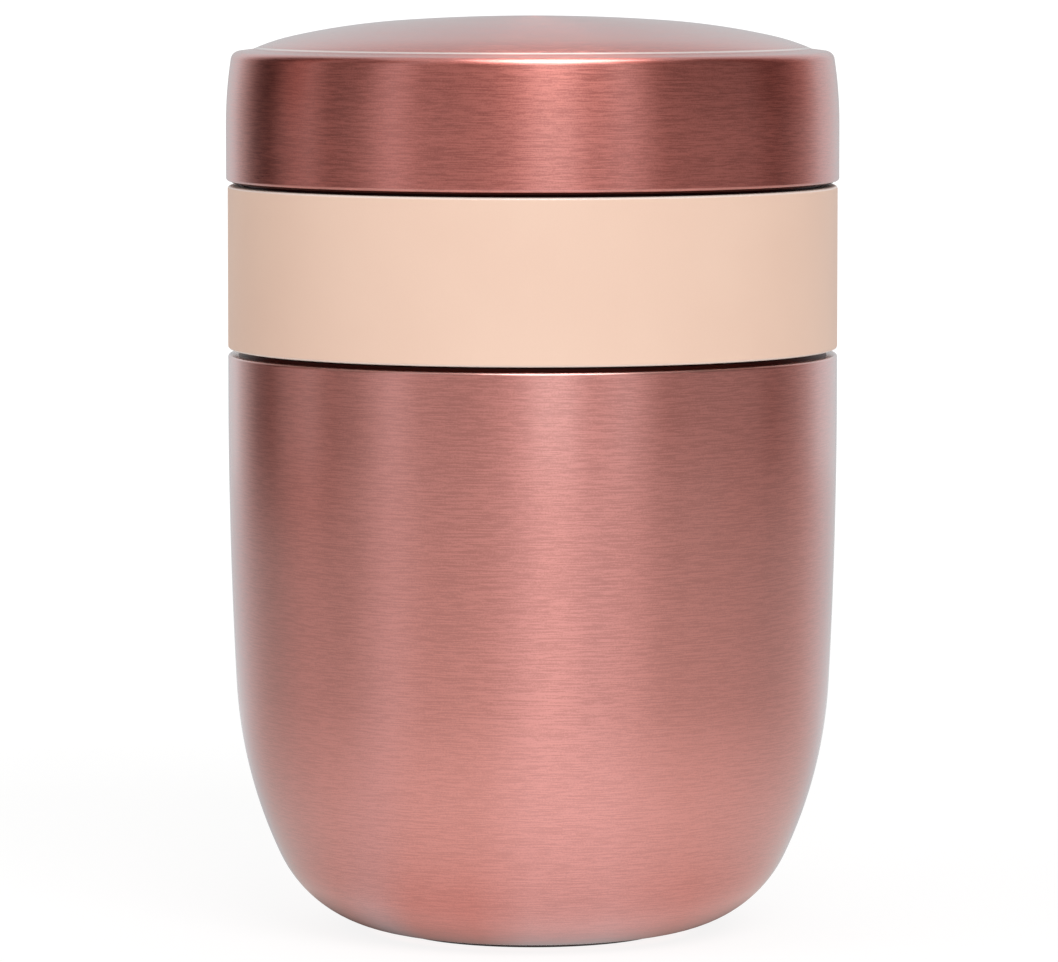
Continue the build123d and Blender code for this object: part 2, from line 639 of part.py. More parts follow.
# Chassis, hung from the pot's studs; its legs stand on the base plate
def chassis():
    plate = ring(0, PLATE_R, PLATE_LOW, PLATE_TOP)
    socket_top = BASE_TOP + SOCKET_FLANGE_H
    for angle in STUD_ANGLES:
        plate += rod(POST_R, PLATE_TOP, POT_UNDER, STUD_PCD_R, angle)
    for angle in LEG_ANGLES:
        plate += rod(LEG_R, socket_top, PLATE_LOW, BASE_SCREW_PCD_R, angle)
        plate += rod(LEG_FOOT_R, BASE_TOP, socket_top, BASE_SCREW_PCD_R, angle)
    for angle in BOARD_ANGLES:
        plate += rod(BOARD_POST_R, BOARD_TOP, PLATE_LOW, BOARD_PCD_R, angle)
    screw_top = FOOT_H + SEAT_FIT + BASE_SCREW_L + HOLE_FIT
    for angle in STUD_ANGLES:
        plate -= rod(STUD_R + SEAT_FIT, PLATE_LOW, POT_UNDER, STUD_PCD_R, angle)
    for angle in LEG_ANGLES:
        plate -= rod(SCREW_R + THREAD_FIT, BASE_TOP, screw_top, BASE_SCREW_PCD_R, angle)
    for angle in BOARD_ANGLES:
        plate -= rod(SMALL_SCREW_R + THREAD_FIT, BOARD_TOP, PLATE_LOW, BOARD_PCD_R, angle)
    plate -= rod(MOTOR_BOSS_R + SEAT_FIT, PLATE_LOW, PLATE_TOP)
    for angle in (0, 180):
        plate -= rod(SMALL_SCREW_R + HOLE_FIT, PLATE_LOW, PLATE_TOP, MOTOR_SCREW_PCD_R, angle)
        head_low = PLATE_TOP - SMALL_HEAD_H - SEAT_FIT
        plate -= rod(SMALL_HEAD_R + HOLE_FIT, head_low, PLATE_TOP, MOTOR_SCREW_PCD_R, angle)
    return plate


def pot_studs():
    low = PLATE_LOW - NUT_H - STUD_TAIL
    return Compound(around(rod(STUD_R, low, POT_UNDER, STUD_PCD_R), STUD_ANGLES))


def chassis_nuts():
    hexagon = extrude(RegularPolygon(NUT_R, 6), NUT_H)
    nut = Pos(STUD_PCD_R, 0, PLATE_LOW - NUT_H) * hexagon
    nut -= rod(STUD_R + THREAD_FIT, PLATE_LOW - NUT_H, PLATE_LOW, STUD_PCD_R)
    return Compound(around(nut, STUD_ANGLES))


# Motor
def motor_can():
    top = PLATE_LOW
    can = ring(0, MOTOR_R, MOTOR_LOW, top) - ring(0, MOTOR_IN_R, MOTOR_LOW, top - MOTOR_WALL)
    can += ring(0, MOTOR_BOSS_R, top, top + MOTOR_BOSS_H)
    can -= ring(0, BUSH_R + THREAD_FIT, top - MOTOR_WALL, top + MOTOR_BOSS_H)
    for angle in (0, 180):
        can -= rod(SMALL_SCREW_R + THREAD_FIT, top - MOTOR_WALL, top, MOTOR_SCREW_PCD_R, angle)
    return can


def motor_screws():
    head_top = PLATE_TOP - SEAT_FIT
    head_low = head_top - SMALL_HEAD_H
    screw = rod(SMALL_HEAD_R, head_low, head_top, MOTOR_SCREW_PCD_R)
    screw += rod(SMALL_SCREW_R, PLATE_LOW - MOTOR_WALL, head_low, MOTOR_SCREW_PCD_R)
    return Compound(around(screw, (0, 180)))


def motor_end_bell():
    bell = ring(BUSH_R + THREAD_FIT, MOTOR_R, BELL_LOW, MOTOR_LOW)
    return bell + ring(BUSH_R + THREAD_FIT, MOTOR_IN_R - THREAD_FIT, MOTOR_LOW, BELL_TOP)


def upper_bush():
    return ring(SHAFT_R + SHAFT_FIT, BUSH_R, PLATE_LOW - MOTOR_WALL, PLATE_LOW + MOTOR_BOSS_H)


def lower_bush():
    return ring(SHAFT_R + SHAFT_FIT, BUSH_R, BELL_LOW, BELL_TOP)


def field_magnets():
    inner = FIELD_OUT_R - FIELD_T
    low = CORE_MIDDLE - FIELD_L / 2
    shell = sector(inner, FIELD_OUT_R, low, low + FIELD_L, -FIELD_DEG / 2, FIELD_DEG)
    return Compound(around(shell, (0, 180)))


def motor_brushes():
    """Two carbon blocks on the end bell, a hair off the commutator."""
    distance = COMMUTATOR_R + SHAFT_FIT + BRUSH_L / 2
    brush = block(BRUSH_L, BRUSH_W, BELL_TOP, BELL_TOP + BRUSH_W, distance, 90)
    return Compound(around(brush, (0, 180)))


def motor_shaft():
    return ring(0, SHAFT_R, BELL_LOW, DISC_TOP)


def armature_core():
    """Three poles with curved shoes on a round middle."""
    low = CORE_MIDDLE - CORE_L / 2
    high = low + CORE_L
    neck = ARMATURE_R - POLE_T
    core = ring(0, COMMUTATOR_R, low, high)
    for angle in evenly(3):
        core += block(neck, POLE_W, low, high, (neck + POLE_T) / 2, angle)
        core += sector(neck, ARMATURE_R, low, high, angle - POLE_DEG / 2, POLE_DEG)
    return core - ring(0, SHAFT_R, low, high)


def armature_windings():
    """A coil of wire round the neck of each pole."""
    low = CORE_MIDDLE - CORE_L / 2 - WINDING_T
    high = CORE_MIDDLE + CORE_L / 2 + WINDING_T
    width = POLE_W + 2 * WINDING_T
    outer = sqrt((ARMATURE_R - POLE_T - SEAT_FIT) ** 2 - (width / 2) ** 2)
    length = outer - COMMUTATOR_R - SEAT_FIT
    distance = outer - length / 2
    coil = block(length, width, low, high, distance, 0)
    coil -= block(length, POLE_W, low + WINDING_T, high - WINDING_T, distance, 0)
    return Compound(around(coil, evenly(3)))


def commutator():
    return ring(SHAFT_R, COMMUTATOR_R, BELL_TOP + SEAT_FIT, BELL_TOP + COMMUTATOR_L)


# Magnetic drive under the pot
def drive_disc():
    disc = ring(SHAFT_R, DISC_R, DISC_LOW, DISC_TOP)
    disc += ring(SHAFT_R, DISC_HUB_R, DISC_LOW - DISC_HUB_H, DISC_LOW)
    for angle in evenly(MAGNET_COUNT):
        disc -= rod(MAGNET_R + THREAD_FIT, DISC_TOP - MAGNET_H, DISC_TOP, MAGNET_PCD_R, angle)
    return disc


def drive_magnets():
    magnet = rod(MAGNET_R, DISC_TOP - MAGNET_H, DISC_TOP, MAGNET_PCD_R)
    return Compound(around(magnet, evenly(MAGNET_COUNT)))


# Heater under the pot
def heat_spreader():
    disc = ring(SPREADER_IN_R, SPREADER_OUT_R, SPREADER_LOW, POT_UNDER)
    return disc - rod(PROBE_R + HOLE_FIT, SPREADER_LOW, POT_UNDER, ELEMENT_PCD_R, PROBE_ANGLE)


def heating_element():
    """A sheathed tube bent round the axis, ground flat where it is brazed to the spreader."""
    tube = Pos(ELEMENT_PCD_R, ELEMENT_Z) * Circle(ELEMENT_R)
    above = Pos(ELEMENT_PCD_R, SPREADER_LOW + ELEMENT_R) * Rectangle(2 * ELEMENT_R, 2 * ELEMENT_R)
    section = Plane.XZ * (tube - above)
    start = ELEMENT_GAP_ANGLE + ELEMENT_GAP_DEG / 2
    return Rot(0, 0, start) * revolve(section, Axis.Z, 360.0 - ELEMENT_GAP_DEG)


def element_terminals():
    """A pin standing out of each end of the tube."""
    pins = []
    for side in (1, -1):
        pin = Rot(90, 0, 0) * Cylinder(TERMINAL_R, TERMINAL_L)
        pin = Pos(ELEMENT_PCD_R, -side * TERMINAL_L / 2, ELEMENT_Z) * pin
        pins.append(Rot(0, 0, ELEMENT_GAP_ANGLE + side * ELEMENT_GAP_DEG / 2) * pin)
    return Compound(pins)


def terminal_angle(side):
    """Where the middle of a terminal pin lies, seen from above."""
    turn = degrees(atan2(TERMINAL_L / 2, ELEMENT_PCD_R))
    return ELEMENT_GAP_ANGLE + side * (ELEMENT_GAP_DEG / 2 - turn)


def temperature_probe():
    return rod(PROBE_R, PLATE_TOP, POT_UNDER, ELEMENT_PCD_R, PROBE_ANGLE)


def safety_thermostat():
    """A round bimetal switch under the spreader, with two flat blades."""
    low = SPREADER_LOW - THERMOSTAT_H
    switch = rod(THERMOSTAT_R, low, SPREADER_LOW, ELEMENT_PCD_R)
    for side in (1, -1):
        place = Pos(ELEMENT_PCD_R, side * THERMOSTAT_R / 2, low - BLADE_L / 2)
        switch += place * Box(BLADE_W, BLADE_T, BLADE_L)
    return Rot(0, 0, THERMOSTAT_ANGLE) * switch


# Control board round the motor
def control_board():
    board = ring(BOARD_IN_R, BOARD_OUT_R, BOARD_LOW, BOARD_TOP)
    for angle in BOARD_ANGLES:
        board -= rod(SMALL_SCREW_R + HOLE_FIT, BOARD_LOW, BOARD_TOP, BOARD_PCD_R, angle)
    return board


def board_screws():
    low = BOARD_LOW - SMALL_HEAD_H
    screw = rod(SMALL_HEAD_R, low, BOARD_LOW, BOARD_PCD_R)
    screw += rod(SMALL_SCREW_R, BOARD_LOW, PLATE_LOW - HOLE_FIT, BOARD_PCD_R)
    return Compound(around(screw, BOARD_ANGLES))


def on_board(size, angle):
    """A component standing on the board."""
    length, width, height = size
    return block(length, width, BOARD_TOP, BOARD_TOP + height, BOARD_MIDDLE_R, angle)


def power_relay():
    return on_board(RELAY_SIZE, RELAY_ANGLE)


def capacitors():
    high = BOARD_TOP + CAPACITOR_H
    return Compound(around(rod(CAPACITOR_R, BOARD_TOP, high, BOARD_MIDDLE_R), CAPACITOR_ANGLES))


def control_chip():
    return on_board(CHIP_SIZE, CHIP_ANGLE)


def connector_angles():
    return [terminal_angle(1), terminal_angle(-1), SENSOR_ANGLE]


def board_connectors():
    return Compound([on_board(CONNECTOR_SIZE, angle) for angle in connector_angles()])


# Leads
def supply_leads():
    """From the socket's contacts up to the board's underside."""
    leads = []
    for start, angle in zip((0.0, RING_CONTACT_R), SUPPLY_LEAD_ANGLES):
        route = [(start, SOCKET_TOP), (start, SUPPLY_LEAD_Z)]
        route += [(SUPPLY_LEAD_R, SUPPLY_LEAD_Z), (SUPPLY_LEAD_R, BOARD_LOW)]
        leads.append(lead(angle, *route))
    return Compound(leads)


def motor_leads():
    """From the motor's end bell up to the board's underside."""
    low = BELL_LOW - MOTOR_LEAD_DROP
    route = [(MOTOR_LEAD_START_R, BELL_LOW), (MOTOR_LEAD_START_R, low)]
    route += [(MOTOR_LEAD_R, low), (MOTOR_LEAD_R, BOARD_LOW)]
    return Compound([lead(angle, *route) for angle in MOTOR_LEAD_ANGLES])


def connector_mouth():
    """Radius and height of the middle of a board connector's outer side."""
    return BOARD_MIDDLE_R + CONNECTOR_SIZE[0] / 2, BOARD_TOP + CONNECTOR_SIZE[2] / 2


def heater_leads():
    """From the element's pins, out past the chassis plate and down to the board."""
    mouth_r, mouth_z = connector_mouth()
    start = hypot(ELEMENT_PCD_R, TERMINAL_L / 2) + TERMINAL_R + THREAD_FIT
    route = [(start, ELEMENT_Z), (OUTER_LEAD_R, ELEMENT_Z)]
    route += [(OUTER_LEAD_R, mouth_z), (mouth_r, mouth_z)]
    return Compound([lead(terminal_angle(side), *route) for side in (1, -1)])


def sensor_lead():
    """From the sensor strip, down between pot and jacket to the board."""
    mouth_r, mouth_z = connector_mouth()
    drop_r = COLLAR_IN_R - SENSOR_STRIP_T - SEAT_FIT
    route = [(drop_r, SENSOR_Z - SENSOR_STRIP_H / 2), (drop_r, mouth_z), (mouth_r, mouth_z)]
    return lead(SENSOR_ANGLE, *route)


# Whisk on its pin
def pivot_pin():
    tip = PIN_R / 2
    return turned(
        (0, POT_FLOOR), (PIN_FLANGE_R, POT_FLOOR),
        (PIN_FLANGE_R, POT_FLOOR + PIN_FLANGE_H), (PIN_R, POT_FLOOR + PIN_FLANGE_H),
        (PIN_R, PIN_TOP - tip), (tip, PIN_TOP), (0, PIN_TOP),
    )


def whisk_sleeve():
    """A bearing sleeve, closed on top, with a flange below and a snap head above the whisk."""
    head_low = SLEEVE_TOP - SLEEVE_HEAD_H
    bore = PIN_R + PIN_FIT
    return turned(
        (bore, SLEEVE_LOW), (SLEEVE_FLANGE_R, SLEEVE_LOW),
        (SLEEVE_FLANGE_R, SLEEVE_LOW + SLEEVE_FLANGE_H), (SLEEVE_R, SLEEVE_LOW + SLEEVE_FLANGE_H),
        (SLEEVE_R, head_low), (SLEEVE_R + SLEEVE_HEAD_W, head_low),
        (SLEEVE_R, SLEEVE_TOP), (0, SLEEVE_TOP), (0, PIN_TOP), (bore, PIN_TOP),
    )


def whisk_cover():
    return ring(HUB_BORE_R, COVER_R, COVER_LOW, HUB_LOW)


def whisk_hub():
    """A wheel with a round groove for the coil, pockets for magnets and stirring vanes on top."""
    wheel = ring(HUB_BORE_R, COIL_PCD_R, HUB_LOW, HUB_TOP)
    wheel += ring(HUB_BORE_R, HUB_TUBE_R, HUB_TOP, TUBE_TOP)
    wall = (HUB_TUBE_R + HUB_BORE_R) / 2
    for angle in evenly(VANE_COUNT):
        length = COVER_R - VANE_T - wall
        wheel += block(length, VANE_T, HUB_TOP, HUB_TOP + VANE_H, wall + length / 2, angle)
    groove = Pos(COIL_PCD_R, COIL_Z) * Circle(GROOVE_R)
    wheel -= revolve(Plane.XZ * groove, Axis.Z)
    for angle in evenly(MAGNET_COUNT):
        wheel -= rod(MAGNET_R + THREAD_FIT, HUB_LOW, HUB_LOW + MAGNET_H, MAGNET_PCD_R, angle)
    return wheel


def whisk_magnets():
    magnet = rod(MAGNET_R, HUB_LOW, HUB_LOW + MAGNET_H, MAGNET_PCD_R)
    return Compound(around(magnet, evenly(MAGNET_COUNT)))


def coil_point(turn):
    """Middle of the wire after so many turns of a helix wound round a ring."""
    roll = 2 * pi * turn
    swing = radians(COIL_SPAN_DEG) * turn / COIL_TURNS
    radius = COIL_PCD_R - COIL_R * cos(roll)
    return Vector(radius * cos(swing), radius * sin(swing), COIL_Z + COIL_R * sin(roll))


def coil_heading(turn):
    """Direction of the wire there."""
    roll = 2 * pi * turn
    swing_rate = radians(COIL_SPAN_DEG) / COIL_TURNS
    swing = swing_rate * turn
    radius = COIL_PCD_R - COIL_R * cos(roll)
    outwards = COIL_R * sin(roll) * 2 * pi
    x = outwards * cos(swing) - radius * sin(swing) * swing_rate
    y = outwards * sin(swing) + radius * cos(swing) * swing_rate
    return Vector(x, y, COIL_R * cos(roll) * 2 * pi).normalized()


def arc_from(start, heading, end):
    """The arc that leaves a point in a heading and ends at another point."""
    chord = end - start
    along = chord.normalized()
    across = heading - along * heading.dot(along)
    angle = heading.get_angle(chord)
    bulge = chord.length / 2 * sin(radians(angle) / 2) / cos(radians(angle) / 2)
    return ThreePointArc(start, (start + end) / 2 + across.normalized() * bulge, end)


def biarc(start, start_heading, end, end_heading):
    """Two arcs that run smoothly from one point and heading to another."""
    chord = end - start
    both = start_heading + end_heading
    share = 2 * (1 - start_heading.dot(end_heading))
    lean = chord.dot(both)
    reach = (sqrt(lean ** 2 + share * chord.dot(chord)) - lean) / share
    middle = (start + start_heading * reach + end - end_heading * reach) / 2
    first = arc_from(start, start_heading, middle)
    back = arc_from(end, end_heading * -1, middle)
    return [first, ThreePointArc(middle, back @ 0.5, end)]


def froth_coil():
    """One unbroken wire wound round a ring, each quarter turn made of two arcs."""
    edges = []
    for quarter in range(4 * COIL_TURNS):
        start = quarter / 4
        end = start + 1 / 4
        edges += biarc(coil_point(start), coil_heading(start), coil_point(end), coil_heading(end))
    route = Wire(edges)
    section = Plane(route @ 0, z_dir=route % 0) * Circle(COIL_WIRE_R)
    coil = sweep(section, route)
    steps = 24
    points = [coil_point(index / steps) for index in range(steps * COIL_TURNS + 1)]
    gap = min(
        (points[first] - points[second]).length - 2 * COIL_WIRE_R
        for first in range(len(points))
        for second in range(first + steps // 2, len(points))
    )
    print("coil: least gap", round(gap, 3), "volume", round(coil.volume, 2),
          "section x length", round(pi * COIL_WIRE_R ** 2 * route.length, 2))
    return coil


NODES = (
    outer_jacket, foot_ring, lid_cap, lid_base, lid_liner, lid_seal, lid_insulation,
    collar, pot_seal, inner_pot, rim_ring, control_band, band_magnets, sensor_board, hall_sensors,
    base_plate, base_screws, power_socket, socket_contacts, chassis, pot_studs, chassis_nuts,
    motor_can, motor_screws, motor_end_bell, upper_bush, lower_bush, field_magnets, motor_brushes,
    motor_shaft, armature_core, armature_windings, commutator, drive_disc, drive_magnets,
    heat_spreader, heating_element, element_terminals, temperature_probe, safety_thermostat,
    control_board, board_screws, power_relay, capacitors, control_chip, board_connectors,
    supply_leads, motor_leads, heater_leads, sensor_lead,
    pivot_pin, whisk_sleeve, whisk_cover, whisk_hub, whisk_magnets, froth_coil,
)

os.makedirs("parts", exist_ok=True)
for make in NODES:
    export_step(make(), f"parts/{make.__name__}.step")
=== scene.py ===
import json
import math

import bpy
import numpy as np
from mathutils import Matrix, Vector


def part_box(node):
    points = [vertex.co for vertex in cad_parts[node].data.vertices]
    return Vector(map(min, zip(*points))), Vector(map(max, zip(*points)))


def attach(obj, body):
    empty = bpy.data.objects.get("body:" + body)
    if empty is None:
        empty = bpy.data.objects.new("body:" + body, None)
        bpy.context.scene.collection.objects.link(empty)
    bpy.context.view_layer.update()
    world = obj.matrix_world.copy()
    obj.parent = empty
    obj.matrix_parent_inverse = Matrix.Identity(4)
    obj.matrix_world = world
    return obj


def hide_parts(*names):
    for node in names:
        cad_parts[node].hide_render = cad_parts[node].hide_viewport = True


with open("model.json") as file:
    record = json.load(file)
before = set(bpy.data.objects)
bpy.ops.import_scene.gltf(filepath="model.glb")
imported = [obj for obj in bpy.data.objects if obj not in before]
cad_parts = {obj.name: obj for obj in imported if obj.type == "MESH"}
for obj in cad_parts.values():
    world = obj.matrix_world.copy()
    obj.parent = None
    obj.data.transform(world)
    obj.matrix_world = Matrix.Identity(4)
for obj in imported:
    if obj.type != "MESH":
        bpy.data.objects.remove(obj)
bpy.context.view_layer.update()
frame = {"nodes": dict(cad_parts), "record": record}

# Sizes. Metres in the scene, millimetres where a size is written here.
MM = 0.001
TURN_STEPS = 256          # facets round a turned piece
ARC_STEP_DEG = 3.0        # one facet of an arc in an outline
EDGE_STEP_DEG = 6.0       # one facet of a rounded edge
EDGE_R = 1.0              # the largest radius that counts as a rounded edge
LONG_STEP = 1.5           # one facet of a straight run or a slow arc
SHARP_RUN = 0.05          # short facet beside each rounding, so that flats stay flat
LEAST_STEP = 1e-5         # points nearer than this are one point
ON_AXIS = 1e-6            # a smaller radius lies on the axis
BALL_RINGS = 5            # rings of facets on the half ball at a wire's end


def low_of(node):
    """The lowest corner of a node's box, in millimetres."""
    return np.array(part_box(node)[0]) / MM


def high_of(node):
    """The highest corner of a node's box, in millimetres."""
    return np.array(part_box(node)[1]) / MM


# Outlines of turned pieces
def straight(start, end):
    """Points of a straight run, close together beside its ends: start plus share times the way."""
    start, end = np.array(start, float), np.array(end, float)
    length = np.hypot(*(end - start))
    count = max(2, int(math.ceil(length / LONG_STEP)) + 1)
    shares = np.linspace(0, 1, count)
    if length > 4 * SHARP_RUN:
        near = SHARP_RUN / length
        shares = np.sort(np.concatenate([shares, [near, 1 - near]]))
    return start + shares[:, None] * (end - start)


def bend(centre, radius, start_deg, end_deg):
    """Points of an arc: centre plus radius times (cos, sin) of evenly spaced angles."""
    turn = abs(end_deg - start_deg)
    by_length = radius * math.radians(turn) / LONG_STEP
    step = ARC_STEP_DEG if radius > EDGE_R else EDGE_STEP_DEG
    count = 1 + max(int(math.ceil(turn / step)), int(math.ceil(by_length)), 4)
    angles = np.radians(np.linspace(start_deg, end_deg, count))
    return np.array(centre, float) + radius * np.stack([np.cos(angles), np.sin(angles)], 1)


def drawn(start, heading_deg, moves):
    """An outline drawn as a walk: a straight run goes on in the heading, a bend turns it.

    Each move is ("run", length) or ("bend", radius, turn in degrees, left positive). Returns the
    points and, at each of them, the direction to the left of the walk.
    """
    place, heading = np.array(start, float), heading_deg
    points, lefts = [], []
    for kind, *sizes in moves:
        if kind == "run":
            way = np.array([math.cos(math.radians(heading)), math.sin(math.radians(heading))])
            piece = straight(place, place + sizes[0] * way)
            headings = np.full(len(piece), heading)
        else:
            radius, turn = sizes
            side = math.copysign(90.0, turn)
            centre = place + radius * np.array([math.cos(math.radians(heading + side)),
                                                math.sin(math.radians(heading + side))])
            piece = bend(centre, radius, heading - side, heading - side + turn)
            headings = np.linspace(heading, heading + turn, len(piece))
            heading = heading + turn
        place = piece[-1]
        points.append(piece)
        lefts.append(np.stack([-np.sin(np.radians(headings)), np.cos(np.radians(headings))], 1))
    return np.concatenate(points), np.concatenate(lefts)


def rounded(corners, radii):
    """A closed outline through corners, each rounded by an arc that touches both its sides."""
    corners = np.array(corners, float)
    radii = np.broadcast_to(np.array(radii, float), (len(corners),))
    before = np.roll(corners, 1, 0) - corners
    after = np.roll(corners, -1, 0) - corners
    before = before / np.hypot(*before.T)[:, None]
    after = after / np.hypot(*after.T)[:, None]
    half = np.arccos(np.clip((before * after).sum(1), -1, 1)) / 2
    reach = radii / np.tan(half)
    middle = before + after
    centre = corners + middle / np.hypot(*middle.T)[:, None] * (radii / np.sin(half))[:, None]
    starts = corners + before * reach[:, None]
    ends = corners + after * reach[:, None]
    pieces = []
    for index in range(len(corners)):
        first = np.degrees(np.arctan2(*(starts[index] - centre[index])[::-1]))
        last = np.degrees(np.arctan2(*(ends[index] - centre[index])[::-1]))
        turn = (last - first + 180) % 360 - 180
        pieces.append(bend(centre[index], radii[index], first, first + turn))
        pieces.append(straight(ends[index], starts[(index + 1) % len(corners)])[1:-1])
    return np.concatenate(pieces)


def without_repeats(points):
    """The same outline with points that lie on the one before them left out."""
    step = np.hypot(*np.diff(points, axis=0).T)
    return points[np.concatenate([[True], step > LEAST_STEP])]


# Meshes
def new_piece(name, points, faces, material, body, replaced, slot):
    """A smooth mesh object from whole arrays, riding on a body in place of CAD nodes."""
    mesh = bpy.data.meshes.new(name)
    mesh.from_pydata(points * MM, [], faces)
    mesh.polygons.foreach_set("use_smooth", np.ones(len(mesh.polygons), bool))
    mesh.update()
    piece = bpy.data.objects.new(name, mesh)
    bpy.context.scene.collection.objects.link(piece)
    mesh.materials.append(material)
    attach(piece, body)
    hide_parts(*replaced)
    return piece


def turned(outline):
    """An outline of (radius, height) carried once round Z: x = r cos a, y = r sin a, z = h.

    An outline that starts and ends on the axis is closed by a fan at each end, and any other is
    closed by joining its last point to its first. Faces point away from the side that the
    outline's area lies on.
    """
    outline = without_repeats(np.asarray(outline, float))
    radius, height = outline.T
    area = np.sum(radius * np.roll(height, -1) - np.roll(radius, -1) * height)
    if area < 0:
        outline = outline[::-1]
    on_axis = outline[0, 0] < ON_AXIS
    rows = outline[1:-1] if on_axis else outline
    if not on_axis and np.hypot(*(rows[0] - rows[-1])) < LEAST_STEP:
        rows = rows[:-1]
    angle = 2 * np.pi * np.arange(TURN_STEPS) / TURN_STEPS
    x = rows[:, :1] * np.cos(angle)
    y = rows[:, :1] * np.sin(angle)
    z = np.broadcast_to(rows[:, 1:], x.shape)
    points = np.stack([x, y, z], -1).reshape(-1, 3)
    count = len(rows)
    first = np.arange(count - 1 if on_axis else count)
    step = np.arange(TURN_STEPS)
    here, there = first[:, None] * TURN_STEPS, ((first + 1) % count)[:, None] * TURN_STEPS
    follow = (step + 1) % TURN_STEPS
    quads = np.stack([here + step, here + follow, there + follow, there + step], -1)
    faces = quads.reshape(-1, 4).tolist()
    if on_axis:
        ends = np.array([[0, 0, outline[0, 1]], [0, 0, outline[-1, 1]]])
        start_pole, end_pole = len(points), len(points) + 1
        last = (count - 1) * TURN_STEPS
        faces += np.stack([np.full(TURN_STEPS, start_pole), follow, step], -1).tolist()
        faces += np.stack([np.full(TURN_STEPS, end_pole), last + step, last + follow], -1).tolist()
        points = np.concatenate([points, ends])
    return points, faces


def tube(path, heading, aside, radius, sides):
    """A round wire along a path, with a half ball at each end.

    Ring k is path[k] plus radius times (aside cos b + heading x aside sin b), and the rings of the
    end balls shrink as the cosine while they move on by the sine.
    """
    lean = np.linspace(0, np.pi / 2, BALL_RINGS + 1)[1:]
    back = -np.sin(lean[::-1])[:, None] * radius * heading[0]
    on = np.sin(lean)[:, None] * radius * heading[-1]
    middle = np.concatenate([path[0] + back, path, path[-1] + on])
    size = np.concatenate([np.cos(lean[::-1]), np.ones(len(path)), np.cos(lean)]) * radius
    size = np.maximum(size, radius * 1e-3)
    heading = np.concatenate([np.repeat(heading[:1], len(lean), 0), heading,
                              np.repeat(heading[-1:], len(lean), 0)])
    aside = np.concatenate([np.repeat(aside[:1], len(lean), 0), aside,
                            np.repeat(aside[-1:], len(lean), 0)])
    across = np.cross(heading, aside)
    turn = 2 * np.pi * np.arange(sides) / sides
    ring = aside[:, None] * np.cos(turn)[:, None] + across[:, None] * np.sin(turn)[:, None]
    points = (middle[:, None] + size[:, None, None] * ring).reshape(-1, 3)
    count = len(middle)
    step, follow = np.arange(sides), (np.arange(sides) + 1) % sides
    here = np.arange(count - 1)[:, None] * sides
    quads = np.stack([here + step, here + follow, here + sides + follow, here + sides + step], -1)
    faces = quads.reshape(-1, 4).tolist()
    faces.append(step[::-1].tolist())
    faces.append(((count - 1) * sides + step).tolist())
    return points, faces


# Shader writing
LINE_CORE = 0.4           # the share of a line's width that has its full strength


class Value:
    """A shader socket that can be added, multiplied and so on in plain sums."""

    def __init__(self, finish, socket):
        self.finish, self.socket = finish, socket

    def sum(self, operation, first, second):
        return self.finish.node("ShaderNodeMath", {"operation": operation}, {0: first, 1: second})

    def __add__(self, other):
        return self.sum("ADD", self, other)

    def __radd__(self, other):
        return self.sum("ADD", other, self)

    def __sub__(self, other):
        return self.sum("SUBTRACT", self, other)

    def __rsub__(self, other):
        return self.sum("SUBTRACT", other, self)

    def __mul__(self, other):
        return self.sum("MULTIPLY", self, other)

    def __rmul__(self, other):
        return self.sum("MULTIPLY", other, self)

    def __truediv__(self, other):
        return self.sum("DIVIDE", self, other)

    def __pow__(self, other):
        return self.sum("POWER", self, other)


